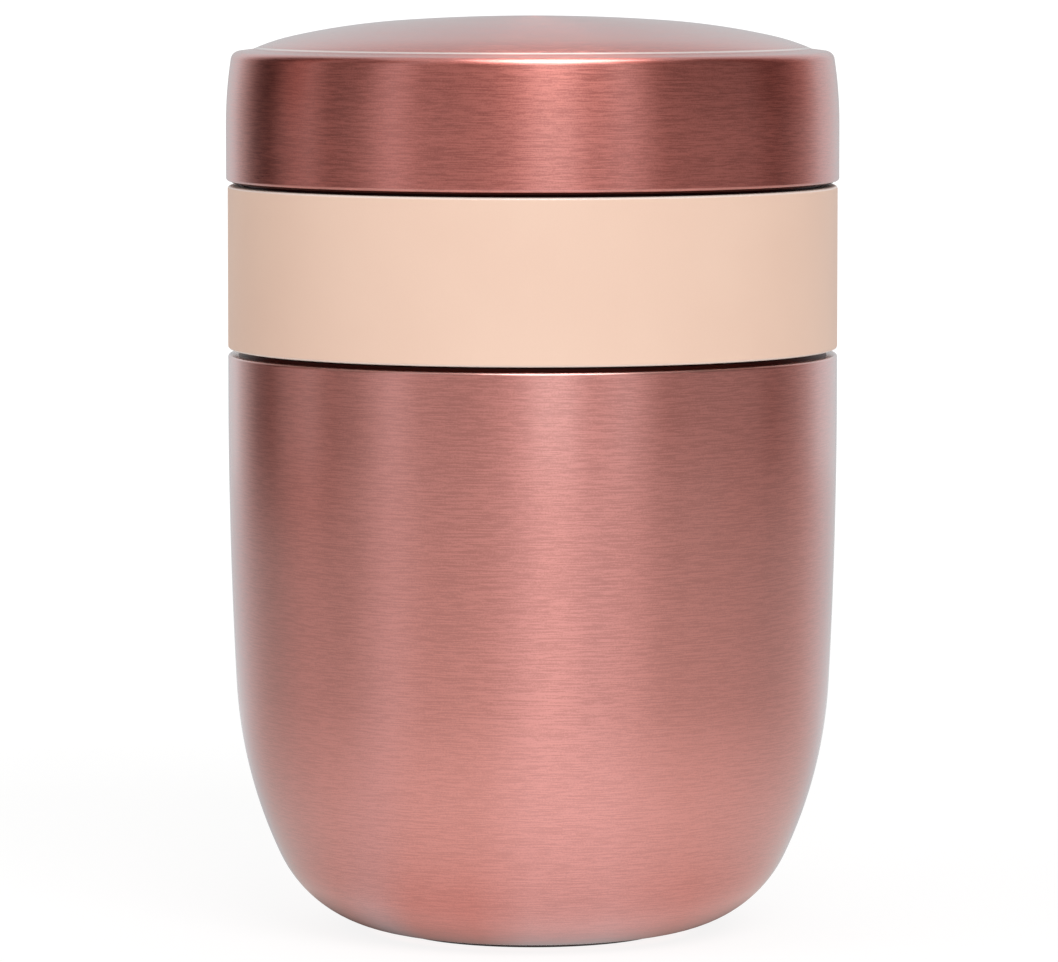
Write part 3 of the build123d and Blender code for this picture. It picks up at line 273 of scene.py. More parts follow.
class Finish:
    """A node material under construction."""

    def __init__(self, tree):
        self.tree = tree
        tree.nodes.clear()

    def node(self, kind, settings=None, sockets=None, out=0):
        """Adds a node: its settings first, then the values or links of its sockets."""
        made = self.tree.nodes.new(kind)
        for key, value in (settings or {}).items():
            if key == "stops":
                ramp = made.color_ramp
                while len(ramp.elements) < len(value):
                    ramp.elements.new(0.5)
                for element, (place, colour) in zip(ramp.elements, value):
                    element.position = place
                    element.color = (*colour, 1.0)
            else:
                setattr(made, key, value)
        for key, value in (sockets or {}).items():
            if isinstance(value, Value):
                self.tree.links.new(value.socket, made.inputs[key])
            else:
                made.inputs[key].default_value = value
        return Value(self, made.outputs[out]) if made.outputs else None

    def place(self):
        """The point on the piece, in metres."""
        return self.node("ShaderNodeTexCoord", out="Object")

    def split(self, vector):
        parts = self.node("ShaderNodeSeparateXYZ", {}, {0: vector})
        return [Value(self, socket) for socket in parts.socket.node.outputs]

    def joined(self, x, y, z):
        return self.node("ShaderNodeCombineXYZ", {}, {0: x, 1: y, 2: z})

    def noise(self, vector, scale, detail=2.0, rough=0.5):
        return self.node("ShaderNodeTexNoise", {},
                         {"Vector": vector, "Scale": scale, "Detail": detail, "Roughness": rough})

    def ramp(self, value, low, high, to_low=0.0, to_high=1.0):
        """A value carried from one range to another, held at the ends."""
        return self.node("ShaderNodeMapRange", {"clamp": True},
                         {0: value, 1: low, 2: high, 3: to_low, 4: to_high})

    def between(self, value, start, full, fading, end):
        """One from full to fading, running out to nought at start and end."""
        return self.ramp(value, start, full) * self.ramp(value, end, fading)

    def away(self, value, place):
        """How far a value lies from a place, to either side."""
        return self.node("ShaderNodeMath", {"operation": "ABSOLUTE"}, {0: value - place})

    def line(self, value, place, half_width, strength):
        """A narrow line where a value passes a place, both given in millimetres."""
        away = self.away(value, place * MM)
        return self.ramp(away, half_width * MM, half_width * MM * LINE_CORE) * strength

    def mix(self, share, first, second):
        """A colour between two colours."""
        return self.node("ShaderNodeMix", {"data_type": "RGBA"},
                         {0: share, 6: first, 7: second}, out=2)

    def bump(self, height, strength, distance):
        return self.node("ShaderNodeBump", {},
                         {"Height": height, "Strength": strength, "Distance": distance})

    def skin(self, **sockets):
        """The surface shader, with each socket named in words: base_color, roughness and so on."""
        named = {key.replace("_", " ").title(): value for key, value in sockets.items()}
        named = {key.replace("Ior", "IOR"): value for key, value in named.items()}
        return self.node("ShaderNodeBsdfPrincipled", {}, named)

    def done(self, shader):
        self.node("ShaderNodeOutputMaterial", {}, {0: shader})


def new_material(name):
    """An empty node material and the finish that is written into it."""
    material = bpy.data.materials.new(name)
    material.use_nodes = True
    return material, Finish(material.node_tree)


def rgb(red, green, blue):
    """A linear colour from screen values of 0 to 255."""
    share = np.array([red, green, blue]) / 255
    linear = np.where(share <= 0.04045, share / 12.92, ((share + 0.055) / 1.055) ** 2.4)
    return (*linear.tolist(), 1.0)


# Finishes. A pair of hair numbers is the changes in a metre round the axis and along the outline.
SHORT_HAIR, LONG_HAIR = (320, 5600), (110, 4200)
FINE_FADE = 2             # millimetres over which the finer brushing sets in
# Colour of the painted highlight lines along the edges of brushed metal
PAINTED_METAL_EDGE_HIGHLIGHT = (0.95, 0.84, 0.78, 1)
# Colour of the painted highlight lines along the edges of moulded plastic
PAINTED_PLASTIC_EDGE_HIGHLIGHT = (1.0, 0.92, 0.85, 1)
HAIR_DEPTH, GRAIN_DEPTH, CELL_DEPTH, ROW_DEPTH, TRACK_DEPTH = 0.00003, 0.00004, 0.0001, 0.00008, 0.00006


def brushed_metal(name, light, dark, outline_slope, roughness, coat, edges, fine_from=1000.0):
    """Metal brushed round its axis: short hairlines follow the turn, and gloss spreads along it.

    The hairlines are noise that changes fast along the outline and slowly round the axis. The
    outline is measured by height plus or minus radius, whichever never stands still on the piece.
    Each edge is a place on that measure, or on the height alone, where a narrow line of painted
    highlight covers the brushing's colour. Past fine_from on the measure the brushing is finer and
    glossier.
    """
    material, f = new_material(name)
    x, y, z = f.split(f.place())
    radius = (x * x + y * y) ** 0.5
    along = z + radius * outline_slope
    short = f.noise(f.joined(x * SHORT_HAIR[0], y * SHORT_HAIR[0], along * SHORT_HAIR[1]), 1.0, 2.0, 0.65)
    long = f.noise(f.joined(x * LONG_HAIR[0], y * LONG_HAIR[0], along * LONG_HAIR[1]), 1.0, 2.0, 0.6)
    cloud = f.noise(f.joined(x, y, z), 38.0, 2.0, 0.5)
    grain = f.noise(f.joined(x, y, z), 4200.0, 1.0, 0.5)
    lines = f.ramp(short * 0.65 + long * 0.35, 0.37, 0.63)
    shade = f.ramp(lines * 0.44 + grain * 0.44 + cloud * 0.12, 0.36, 0.64)
    colour = f.mix(shade, dark, light)
    fine = f.ramp(along, fine_from * MM, (fine_from + FINE_FADE) * MM)
    gloss = roughness - 0.06 + lines * 0.09 + cloud * 0.03 - fine * 0.1
    # Each edge line is a painted highlight mixed into the colour
    for measure, place, half_width, strength in edges:
        line = f.line({"outline": along, "height": z}[measure], place, half_width, strength)
        colour = f.mix(line, colour, PAINTED_METAL_EDGE_HIGHLIGHT)
    normal = f.bump(lines * 0.7 + grain * 0.3, 0.3, HAIR_DEPTH)
    f.done(f.skin(base_color=colour, metallic=1.0, roughness=gloss, anisotropic=0.82,
                  anisotropic_rotation=0.25, coat_weight=coat, coat_roughness=0.14, coat_ior=1.75,
                  normal=normal))
    return material


def moulded_plastic(name, light, dark, roughness, grain_size, bump, edges=(), shine=0.5):
    """Moulded plastic: a fine spark-eroded grain, with the slow shade of the moulding in its colour.

    Each edge is a height where a narrow line of painted highlight, paler and smoother, is laid into the
    colour.
    """
    material, f = new_material(name)
    place = f.place()
    grain = f.noise(place, 1 / (grain_size * MM), 2.0, 0.6)
    cloud = f.noise(place, 45.0, 2.0, 0.5)
    colour = f.mix(f.ramp(cloud * 0.6 + grain * 0.4, 0.3, 0.7), dark, light)
    gloss = roughness - 0.06 + grain * 0.08 + cloud * 0.04
    z = f.split(place)[2]
    # Each edge line is a painted highlight: paler colour, with less roughness
    for height, half_width, strength in edges:
        line = f.line(z, height, half_width, strength)
        colour = f.mix(line, colour, PAINTED_PLASTIC_EDGE_HIGHLIGHT)
        gloss = gloss - line * 0.15
    f.done(f.skin(base_color=colour, roughness=gloss, specular_ior_level=shine,
                  normal=f.bump(grain, bump, GRAIN_DEPTH)))
    return material


def plain_metal(name, light, dark, roughness, streak):
    """Plain machined or plated metal: fine turning marks across Z and faint smudges."""
    material, f = new_material(name)
    x, y, z = f.split(f.place())
    marks = f.noise(f.joined(x * streak, y * streak, z * 5000), 1.0, 2.0, 0.6)
    smudge = f.noise(f.joined(x, y, z), 160.0, 3.0, 0.6)
    colour = f.mix(f.ramp(marks * 0.5 + smudge * 0.5, 0.3, 0.7), dark, light)
    gloss = roughness - 0.06 + marks * 0.06 + smudge * 0.08
    f.done(f.skin(base_color=colour, metallic=1.0, roughness=gloss,
                  normal=f.bump(marks, 0.08, HAIR_DEPTH)))
    return material


def speckled(name, light, dark, roughness, cell_size, bump):
    """Pressed or foamed stuff: rounded cells with a shade of their own."""
    material, f = new_material(name)
    place = f.place()
    cells = f.node("ShaderNodeTexVoronoi", {"feature": "F1"},
                   {"Vector": place, "Scale": 1 / (cell_size * MM)})
    grain = f.noise(place, 3 / (cell_size * MM), 2.0, 0.6)
    colour = f.mix(f.ramp(cells * 0.7 + grain * 0.3, 0.15, 0.75), light, dark)
    gloss = roughness - 0.05 + grain * 0.1
    f.done(f.skin(base_color=colour, roughness=gloss, normal=f.bump(cells, bump, CELL_DEPTH)))
    return material


def wound_copper(name):
    """Enamelled copper: rows of wire across Z, each a rounded ridge."""
    material, f = new_material(name)
    x, y, z = f.split(f.place())
    rows = f.node("ShaderNodeMath", {"operation": "SINE"}, {0: (x + y + z) * 9000})
    shade = f.noise(f.joined(x, y, z), 900.0, 2.0, 0.5)
    colour = f.mix(f.ramp(rows * 0.3 + shade, 0.1, 0.9), rgb(118, 52, 24), rgb(214, 124, 70))
    f.done(f.skin(base_color=colour, metallic=1.0, roughness=0.24 + shade * 0.16, coat_weight=0.5,
                  normal=f.bump(rows, 0.3, ROW_DEPTH)))
    return material


def circuit_board(name):
    """Solder mask over copper: straight tracks show as lighter, slightly raised green."""
    material, f = new_material(name)
    place = f.place()
    tracks = f.node("ShaderNodeTexBrick", {"offset": 0.37},
                    {"Vector": place, "Color1": (0, 0, 0, 1), "Color2": (0.1, 0.1, 0.1, 1),
                     "Mortar": (1, 1, 1, 1), "Scale": 260.0, "Mortar Size": 0.03})
    weave = f.noise(place, 2400.0, 2.0, 0.5)
    raised = f.node("ShaderNodeRGBToBW", {}, {0: tracks})
    colour = f.mix(f.ramp(raised * 0.7 + weave * 0.3, 0.1, 0.9), rgb(18, 74, 48), rgb(44, 128, 84))
    f.done(f.skin(base_color=colour, roughness=0.3 + weave * 0.14, coat_weight=0.4,
                  normal=f.bump(raised, 0.25, TRACK_DEPTH)))
    return material


JACKET_TOP = high_of("outer_jacket")[2]
LID_EDGE_LOW = low_of("lid_cap")[2]
BAND_LOW, BAND_HIGH = low_of("control_band")[2], high_of("control_band")[2]
# A painted highlight line runs along DOME_START, where the finer brushing also begins
DOME_START = 100.2        # height less radius on the steep start of the lid's dome

FINISHES = {
    # The edge lines given to the jacket and the lid are painted highlights: on the jacket's top edge, on
    # the lid's lower edge, and where the dome starts
    "rose_metal": brushed_metal("jacket brushed rose", (0.62, 0.226, 0.194, 1), (0.49, 0.170, 0.143, 1),
                                1.0, 0.34, 1.0, [("height", JACKET_TOP - 0.1, 0.28, 0.15)]),
    "rose_metal_lid": brushed_metal("lid brushed rose", (0.578, 0.1745, 0.1445, 1),
                                    (0.432, 0.1195, 0.097, 1), -1.0, 0.32, 0.7,
                                    [("height", LID_EDGE_LOW + 0.3, 0.22, 0.08),
                                     ("outline", DOME_START, 0.52, 0.8)], DOME_START),
    "pot_steel": brushed_metal("pot brushed steel", (0.72, 0.71, 0.70, 1), (0.55, 0.54, 0.53, 1),
                               1.0, 0.30, 0.0, []),
    # The band's two edge lines are painted highlights along its top and bottom edges
    "peach_plastic": moulded_plastic("band peach", rgb(244, 210, 189), rgb(239, 203, 182), 0.46, 0.16, 0.10,
                                     [(BAND_LOW + 0.08, 0.3, 0.75), (BAND_HIGH - 0.08, 0.3, 0.75)]),
    "dark_plastic": moulded_plastic("dark plastic", rgb(52, 30, 27), rgb(36, 20, 18), 0.40, 0.22, 0.16),
    "frame_plastic": moulded_plastic("frame plastic", rgb(58, 58, 62), rgb(42, 42, 46), 0.5, 0.3, 0.2),
    "bearing_plastic": moulded_plastic("bearing plastic", rgb(238, 236, 228), rgb(222, 219, 208),
                                       0.34, 0.3, 0.08),
    "bright_steel": plain_metal("bright steel", (0.74, 0.74, 0.74, 1), (0.52, 0.52, 0.53, 1),
                                0.26, 300.0),
    "silicone": moulded_plastic("silicone", rgb(58, 54, 54), rgb(44, 40, 40), 0.62, 0.12, 0.12),
    "foam": speckled("closed-cell foam", rgb(232, 230, 222), rgb(188, 184, 172), 0.85, 0.7, 0.5),
    "magnet": plain_metal("nickel plating", (0.66, 0.65, 0.63, 1), (0.42, 0.42, 0.41, 1),
                          0.2, 120.0),
    "ferrite": speckled("ferrite", rgb(62, 62, 66), rgb(36, 36, 40), 0.6, 0.35, 0.35),
    "copper": wound_copper("enamelled copper"),
    "contact_brass": plain_metal("contact brass", (0.78, 0.58, 0.26, 1), (0.55, 0.38, 0.15, 1),
                                 0.28, 260.0),
    "spreader": plain_metal("pressed aluminium", (0.78, 0.79, 0.80, 1), (0.58, 0.59, 0.60, 1),
                            0.38, 500.0),
    "board": circuit_board("circuit board"),
    "component": moulded_plastic("chip epoxy", rgb(34, 34, 37), rgb(22, 22, 25), 0.55, 0.25, 0.25),
    "relay_case": moulded_plastic("relay case", rgb(50, 78, 142), rgb(38, 60, 116), 0.25, 0.5, 0.06),
    "connector": moulded_plastic("connector housing", rgb(232, 226, 206), rgb(214, 206, 184),
                                 0.4, 0.3, 0.1),
    "capacitor": plain_metal("capacitor sleeve", (0.12, 0.13, 0.18, 1), (0.06, 0.07, 0.10, 1),
                             0.3, 80.0),
    "lead": moulded_plastic("lead insulation", rgb(168, 44, 38), rgb(140, 32, 28), 0.45, 0.2, 0.1),
    "carbon": speckled("pressed carbon", rgb(40, 40, 42), rgb(22, 22, 24), 0.5, 0.3, 0.3),
}

DARK_RING = moulded_plastic("dark ring", rgb(70, 27, 21), rgb(56, 19, 14), 0.3, 0.3, 0.04, shine=0.04)

for subpart in frame["record"]["subparts"]:
    node = frame["nodes"][subpart["node"]]
    node.data.materials.clear()
    node.data.materials.append(FINISHES[subpart["material_slot"]])
collar_skin = frame["nodes"]["collar"].data.materials
collar_skin.clear()
collar_skin.append(DARK_RING)

# Jacket: lip, rounded edge, wall, slow side, belly, heel and flat bottom
JACKET_WALL = 0.8
JACKET_EDGE_R = 0.45
SIDE_R, SIDE_DEG = 914.0, 2.96
BELLY_R, BELLY_DEG = 75.5, 22.24
JACKET_HOLE_R = 20.0
LIP_R = 46.7              # inner edge of the lip under the collar
FLAT_MARGIN = 0.05        # the flat bottom beyond the base plate


def jacket_outline():
    """A walk down the outside, and the same walk one wall further in on the way back."""
    body_r, bottom = high_of("outer_jacket")[0], low_of("outer_jacket")[2]
    flat_r = high_of("base_plate")[0] + FLAT_MARGIN
    lean_deg = SIDE_DEG + BELLY_DEG
    side, lean = math.radians(SIDE_DEG), math.radians(lean_deg)
    side_in = SIDE_R * (1 - math.cos(side)) + BELLY_R * (math.cos(side) - math.cos(lean))
    heel_r = (body_r - side_in - flat_r) / math.cos(lean)
    drop = SIDE_R * math.sin(side) + BELLY_R * (math.sin(lean) - math.sin(side))
    drop += heel_r * (1 - math.sin(lean))
    outside, left = drawn((LIP_R, JACKET_TOP), 0.0, [
        ("run", body_r - JACKET_EDGE_R - LIP_R),
        ("bend", JACKET_EDGE_R, -90.0),
        ("run", JACKET_TOP - JACKET_EDGE_R - bottom - drop),
        ("bend", SIDE_R, -SIDE_DEG),
        ("bend", BELLY_R, -BELLY_DEG),
        ("bend", heel_r, lean_deg - 90.0),
        ("run", flat_r - JACKET_HOLE_R),
    ])
    inside = outside - JACKET_WALL * left
    return np.concatenate([outside, inside[::-1]])


new_piece("jacket_shell", *turned(jacket_outline()), FINISHES["rose_metal"],
          "jug", ["outer_jacket"], "rose_metal")

# Lid cap: rounded lower edge, side, slow crown, shoulder, sloping ledge and a dome of three arcs
LID_WALL = 0.8
LID_EDGE_R = 0.5
LID_EDGE_BREAK = 0.02     # at the inside of the lower edge
CROWN_R, CROWN_DEG = 70.0, 8.8
SHOULDER_R = 1.5
LEDGE_DEG = 7.0
DOME_R = 45.94
DOME_TOP_R, DOME_TOP_DEG = 316.0, 4.0
DOME_MID_DEG = 8.57
DOME_EDGE_R, DOME_EDGE_DEG = 34.3, 11.5


def lid_outline():
    """From the rounded lower edge up the outside to the top, and back down one wall further in."""
    low, top = LID_EDGE_LOW, high_of("lid_cap")[2]
    lid_r = high_of("lid_cap")[0]
    bend_deg = DOME_TOP_DEG + DOME_MID_DEG
    dome_deg = bend_deg + DOME_EDGE_DEG
    sines = [math.sin(math.radians(angle)) for angle in (DOME_TOP_DEG, bend_deg, dome_deg)]
    cosines = [math.cos(math.radians(angle)) for angle in (DOME_TOP_DEG, bend_deg, dome_deg)]
    mid_r = DOME_R - DOME_TOP_R * sines[0] - DOME_EDGE_R * (sines[2] - sines[1])
    mid_r = mid_r / (sines[1] - sines[0])
    dome_h = DOME_TOP_R * (1 - cosines[0]) + mid_r * (cosines[0] - cosines[1])
    dome_h += DOME_EDGE_R * (cosines[1] - cosines[2])
    crown, ledge = math.radians(CROWN_DEG), math.radians(LEDGE_DEG)
    shoulder_in = SHOULDER_R * (math.cos(crown) - math.sin(ledge))
    shoulder_up = SHOULDER_R * (math.cos(ledge) - math.sin(crown))
    ledge_in = lid_r - CROWN_R * (1 - math.cos(crown)) - shoulder_in - DOME_R
    crown_low = top - dome_h - ledge_in * math.tan(ledge) - shoulder_up - CROWN_R * math.sin(crown)
    side, side_left = drawn((lid_r - LID_EDGE_R, low), 0.0, [
        ("bend", LID_EDGE_R, 90.0),
        ("run", crown_low - low - LID_EDGE_R),
        ("bend", CROWN_R, CROWN_DEG),
        ("bend", SHOULDER_R, 90.0 - CROWN_DEG - LEDGE_DEG),
        ("run", ledge_in / math.cos(ledge)),
    ])
    dome, dome_left = drawn(side[-1], 180.0 - dome_deg, [
        ("bend", DOME_EDGE_R, DOME_EDGE_DEG),
        ("bend", mid_r, DOME_MID_DEG),
        ("bend", DOME_TOP_R, DOME_TOP_DEG),
    ])
    dome[-1, 0] = 0.0
    inner_dome = dome + LID_WALL * dome_left
    inner_dome[-1, 0] = 0.0
    upright = side[:, 1] > low + LID_EDGE_R
    inner_side = side[upright] + LID_WALL * side_left[upright]
    inner_r = lid_r - LID_WALL
    inner_edge = np.array([[inner_r, low + LID_EDGE_BREAK], [inner_r + LID_EDGE_BREAK, low]])
    return np.concatenate([inner_dome[::-1], inner_side[::-1], inner_edge, side, dome])


new_piece("lid_shell", *turned(lid_outline()), FINISHES["rose_metal_lid"],
          "lid", ["lid_cap"], "rose_metal_lid")

# Pot: flange, rounded lip, wall, corner and floor
POT_R = 41.5
POT_WALL = 0.8
POT_BEND_R = 1.5
POT_CORNER_R = 7.0


def pot_outline():
    """From the flange down the milk side to the middle of the floor, and back below it."""
    flange_r, top = high_of("inner_pot")[0], high_of("inner_pot")[2]
    floor = low_of("inner_pot")[2] + POT_WALL
    milk_side, left = drawn((flange_r, top), 180.0, [
        ("run", flange_r - POT_R - POT_BEND_R),
        ("bend", POT_BEND_R, 90.0),
        ("run", top - POT_BEND_R - floor - POT_CORNER_R),
        ("bend", POT_CORNER_R, -90.0),
        ("run", POT_R - POT_CORNER_R),
    ])
    outside = milk_side + POT_WALL * left
    milk_side[-1, 0] = outside[-1, 0] = 0.0
    return np.concatenate([outside[::-1], milk_side])


new_piece("pot_shell", *turned(pot_outline()), FINISHES["pot_steel"],
          "jug", ["inner_pot"], "pot_steel")

# Froth coil
COIL_PCD_R, COIL_R, COIL_WIRE_R = 17.2, 2.7, 0.45
COIL_TURNS, COIL_SPAN_DEG = 30, 352.0
COIL_STEPS = 32           # points in one turn of the wire
COIL_SIDES = 12           # facets round the wire


def coil_wire():
    """A helix wound round a ring: the wire rolls once a turn while it goes round the axis.

    Radius is the ring's less the coil's times cos(roll), height the ring's plus the coil's times
    sin(roll), and the swing round Z grows evenly with the roll.
    """
    height = (low_of("froth_coil")[2] + high_of("froth_coil")[2]) / 2
    turn = np.linspace(0, COIL_TURNS, COIL_TURNS * COIL_STEPS + 1)
    roll = 2 * np.pi * turn
    swing = np.radians(COIL_SPAN_DEG) * turn / COIL_TURNS
    out = np.stack([np.cos(swing), np.sin(swing), 0 * swing], 1)
    up = np.array([0, 0, 1.0])
    aside = -np.cos(roll)[:, None] * out + np.sin(roll)[:, None] * up
    path = COIL_PCD_R * out + COIL_R * aside + height * up
    heading = np.gradient(path, axis=0)
    heading = heading / np.linalg.norm(heading, axis=1)[:, None]
    aside = aside - (aside * heading).sum(1)[:, None] * heading
    aside = aside / np.linalg.norm(aside, axis=1)[:, None]
    return tube(path, heading, aside, COIL_WIRE_R, COIL_SIDES)


new_piece("coil_wire", *coil_wire(), FINISHES["bright_steel"],
          "whisk", ["froth_coil"], "bright_steel")

# Rings with softened edges
RING_EDGE_R = 0.2
LID_BASE_HOLE_R = 41.1
FOOT_HOLE_R = 19.6
RIM_HOLE_R, RIM_SKIRT, RIM_PLATE = 43.2, 0.8, 0.6
PLUG_R, PLUG_WALL = 41.0, 2.0
SEAL_BACK_R, SEAL_WAIST_R = 40.0, 40.6
HALF_CUT = 0.1            # what is cut off the plug's outer half to open it


def soft_ring(node, inner):
    """The four corners of a ring's section, rounded."""
    low, high = low_of(node)[2], high_of(node)[2]
    outer = high_of(node)[0]
    return rounded([(inner, low), (outer, low), (outer, high), (inner, high)], RING_EDGE_R)


def rim_outline():
    """The clamp ring's section: a flat top and a short skirt outside."""
    low, high, outer = low_of("rim_ring")[2], high_of("rim_ring")[2], high_of("rim_ring")[0]
    skirt, seat = outer - RIM_SKIRT, high - RIM_PLATE
    return rounded([(RIM_HOLE_R, seat), (skirt, seat), (skirt, low), (outer, low), (outer, high),
                    (RIM_HOLE_R, high)], [0.2, 0.1, 0.2, 0.2, 0.25, 0.25])


def liner_outline():
    """The plug's section: floor, side with a seal groove, and a flange on the lid base.

    Its outer half is a rounded loop, opened at half the radius and carried on straight to the axis.
    """
    low, high = low_of("lid_liner")[2], high_of("lid_liner")[2]
    seat, flange = high_of("lid_base")[2], high_of("lid_liner")[0]
    groove_low, groove_high = low_of("lid_seal")[2], high_of("lid_seal")[2]
    half, inside, floor = PLUG_R / 2, PLUG_R - PLUG_WALL, low + PLUG_WALL
    loop = rounded([(half, low), (PLUG_R, low), (PLUG_R, groove_low), (SEAL_BACK_R, groove_low),
                    (SEAL_BACK_R, groove_high), (PLUG_R, groove_high), (PLUG_R, seat), (flange, seat),
                    (flange, high), (inside, high), (inside, floor), (half, floor)],
                   [HALF_CUT, 1.0, 0.25, 0.1, 0.1, 0.25, 0.2, 0.2, 0.3, 0.3, 0.5, HALF_CUT])
    kept = loop[:, 0] > half + HALF_CUT
    first = np.argmax(kept)
    walk = np.roll(loop, -first, 0)[np.roll(kept, -first)]
    start, end = straight((0, low), walk[0]), straight(walk[-1], (0, floor))
    return np.concatenate([start, walk, end])


def seal_outline():
    """Two soft lips on a flat back."""
    low, high = low_of("lid_seal")[2], high_of("lid_seal")[2]
    back, lip, waist = SEAL_BACK_R, high_of("lid_seal")[0], SEAL_WAIST_R
    third = (high - low) / 3
    return rounded([(back, low), (waist, low), (lip, low + 0.7 * third), (lip, low + 1.05 * third),
                    (waist, low + 1.5 * third), (lip, high - 1.05 * third), (lip, high - 0.7 * third),
                    (waist, high), (back, high)], [0.1, 0.15, 0.12, 0.12, 0.25, 0.12, 0.12, 0.15, 0.1])


new_piece("lid_base_plate", *turned(soft_ring("lid_base", LID_BASE_HOLE_R)), DARK_RING,
          "lid", ["lid_base"], "dark_plastic")
new_piece("foot_pad", *turned(soft_ring("foot_ring", FOOT_HOLE_R)), FINISHES["silicone"],
          "jug", ["foot_ring"], "silicone")
new_piece("rim_clamp", *turned(rim_outline()), DARK_RING,
          "jug", ["rim_ring"], "dark_plastic")
new_piece("lid_plug", *turned(liner_outline()), FINISHES["dark_plastic"],
          "lid", ["lid_liner"], "dark_plastic")
new_piece("lid_lips", *turned(seal_outline()), FINISHES["silicone"],
          "lid", ["lid_seal"], "silicone")

# Camera: far off, a little above, looking slightly down
CAMERA_LENS = 240.61
CAMERA_SENSOR = 36.0
CAMERA_PLACE = (-0.0006, -1.16, 0.17089)
CAMERA_DOWN_DEG = 4.767
camera_data = bpy.data.cameras.new("camera")
camera = bpy.data.objects.new("camera", camera_data)
bpy.context.scene.collection.objects.link(camera)
camera_data.lens = CAMERA_LENS
camera_data.sensor_width = CAMERA_SENSOR
camera.location = CAMERA_PLACE
camera.rotation_euler = (math.radians(90 - CAMERA_DOWN_DEG), 0, 0)
bpy.context.scene.camera = camera


# Studio
FLOOR_HALF = 60.0
TENT_R, TENT_TOP = 0.8, 1.4
TENT_HOLE_R = 0.023       # the sheet ends under the foot
SHEET_LIFT, SHEET_EDGE = 0.001, 0.02
OVERHEAD_LEFT, OVERHEAD_RIGHT, OVERHEAD_MIDDLE = -0.35, 0.55, 0.1
OVERHEAD_FRONT, OVERHEAD_BACK, OVERHEAD_Z = -0.75, 0.18, 1.15
TENT_STEPS = 96           # facets round the tent
LAMP_AIM = (0, 0, 0.08)
WHITE, BLACK = (1, 1, 1, 1), (0, 0, 0, 1)
SOFT_LIGHT, SOFT_LEVEL = (1, 0.985, 0.97, 1), 0.5
PAPER_DARK, PAPER_LIGHT = (0.86, 0.86, 0.86, 1), (0.9, 0.9, 0.9, 1)
PAPER_GLOW = 1.11         # what makes the paper come out white
GLOW_NEAR, GLOW_FROM, GLOW_FULL = 0.78, 0.2, 1.0    # its share by the piece, and where it grows
OVERHEAD_GLOW = (10.0, 9.9, 9.8, 1)


def seen_directly(f):
    """One for rays from the camera, off gloss or through glass, else nought."""
    path = f.node("ShaderNodeLightPath").socket.node.outputs
    camera_ray, glossy_ray = Value(f, path["Is Camera Ray"]), Value(f, path["Is Glossy Ray"])
    through_ray = Value(f, path["Is Transmission Ray"])
    return f.node("ShaderNodeMath", {"operation": "MAXIMUM"},
                  {0: camera_ray, 1: f.node("ShaderNodeMath", {"operation": "MAXIMUM"},
                                            {0: glossy_ray, 1: through_ray})})


def studio_world():
    """White to the eye and in gloss, and a softer light on matte surfaces."""
    world = bpy.data.worlds.new("studio")
    world.use_nodes = True
    f = Finish(world.node_tree)
    soft = f.node("ShaderNodeBackground", {}, {"Color": SOFT_LIGHT, "Strength": SOFT_LEVEL})
    white = f.node("ShaderNodeBackground", {}, {"Color": WHITE, "Strength": 1.0})
    both = f.node("ShaderNodeMixShader", {}, {0: seen_directly(f), 1: soft, 2: white})
    f.node("ShaderNodeOutputWorld", {}, {0: both})
    bpy.context.scene.world = world


def floor_material():
    """White paper: shaded where the piece keeps light off it, and white to the eye further away."""
    material, f = new_material("paper floor")
    x, y, z = f.split(f.place())
    radius = (x * x + y * y) ** 0.5
    fibre = f.noise(f.joined(x, y, z), 300.0, 2.0, 0.5)
    paper = f.node("ShaderNodeBsdfDiffuse", {}, {"Color": f.mix(fibre, PAPER_DARK, PAPER_LIGHT)})
    white = f.node("ShaderNodeEmission", {}, {"Color": WHITE, "Strength": PAPER_GLOW})
    share = seen_directly(f) * f.ramp(radius, GLOW_FROM, GLOW_FULL, GLOW_NEAR, 1.0)
    f.done(f.node("ShaderNodeMixShader", {}, {0: share, 1: paper, 2: white}))
    return material


# Light of the tent's wall by degrees round Z from the front, to the right positive
WALL_LEVELS = (
    (-180, 0.56), (-165, 0.62), (-155, 0.74), (-147, 0.82), (-134, 0.47), (-124, 0.09), (-113, 0.02),
    (-103, 0.37), (-90, 0.63), (-79, 0.20), (-66, 0.34), (-52, 0.96), (-41, 0.49), (-20, 0.45),
    (-8, 0.56), (4, 1.31), (12, 1.25), (22, 0.54), (34, 0.98), (48, 0.25), (66, 0.275), (88, 0.275),
    (100, 0.11), (111, 0.245), (122, 0.50), (134, 0.84), (147, 0.80), (155, 0.74), (165, 0.62),
    (180, 0.56),
)
LEVEL_SCALE = 2.0         # a colour ramp holds no more than 1, so it holds the levels over this
PALE = (1.0, 1.03, 1.05, 1)
COOL = (1.0, 1.20, 1.22, 1)
FRONT_LOW, SIDE_LOW = (1.0, 1.08, 1.07, 1), (1.0, 0.95, 0.92, 1)
WALL_WARM, FLANK_WARM = (1.0, 0.84, 0.80, 1), (1.0, 0.62, 0.56, 1)
FOOT_WARM, NEAR_WARM = (1.0, 0.72, 0.66, 1), (1.0, 0.96, 0.93, 1)
FAR_WARM, BRIM_WARM = (1.0, 0.90, 0.86, 1), (1.0, 0.66, 0.60, 1)


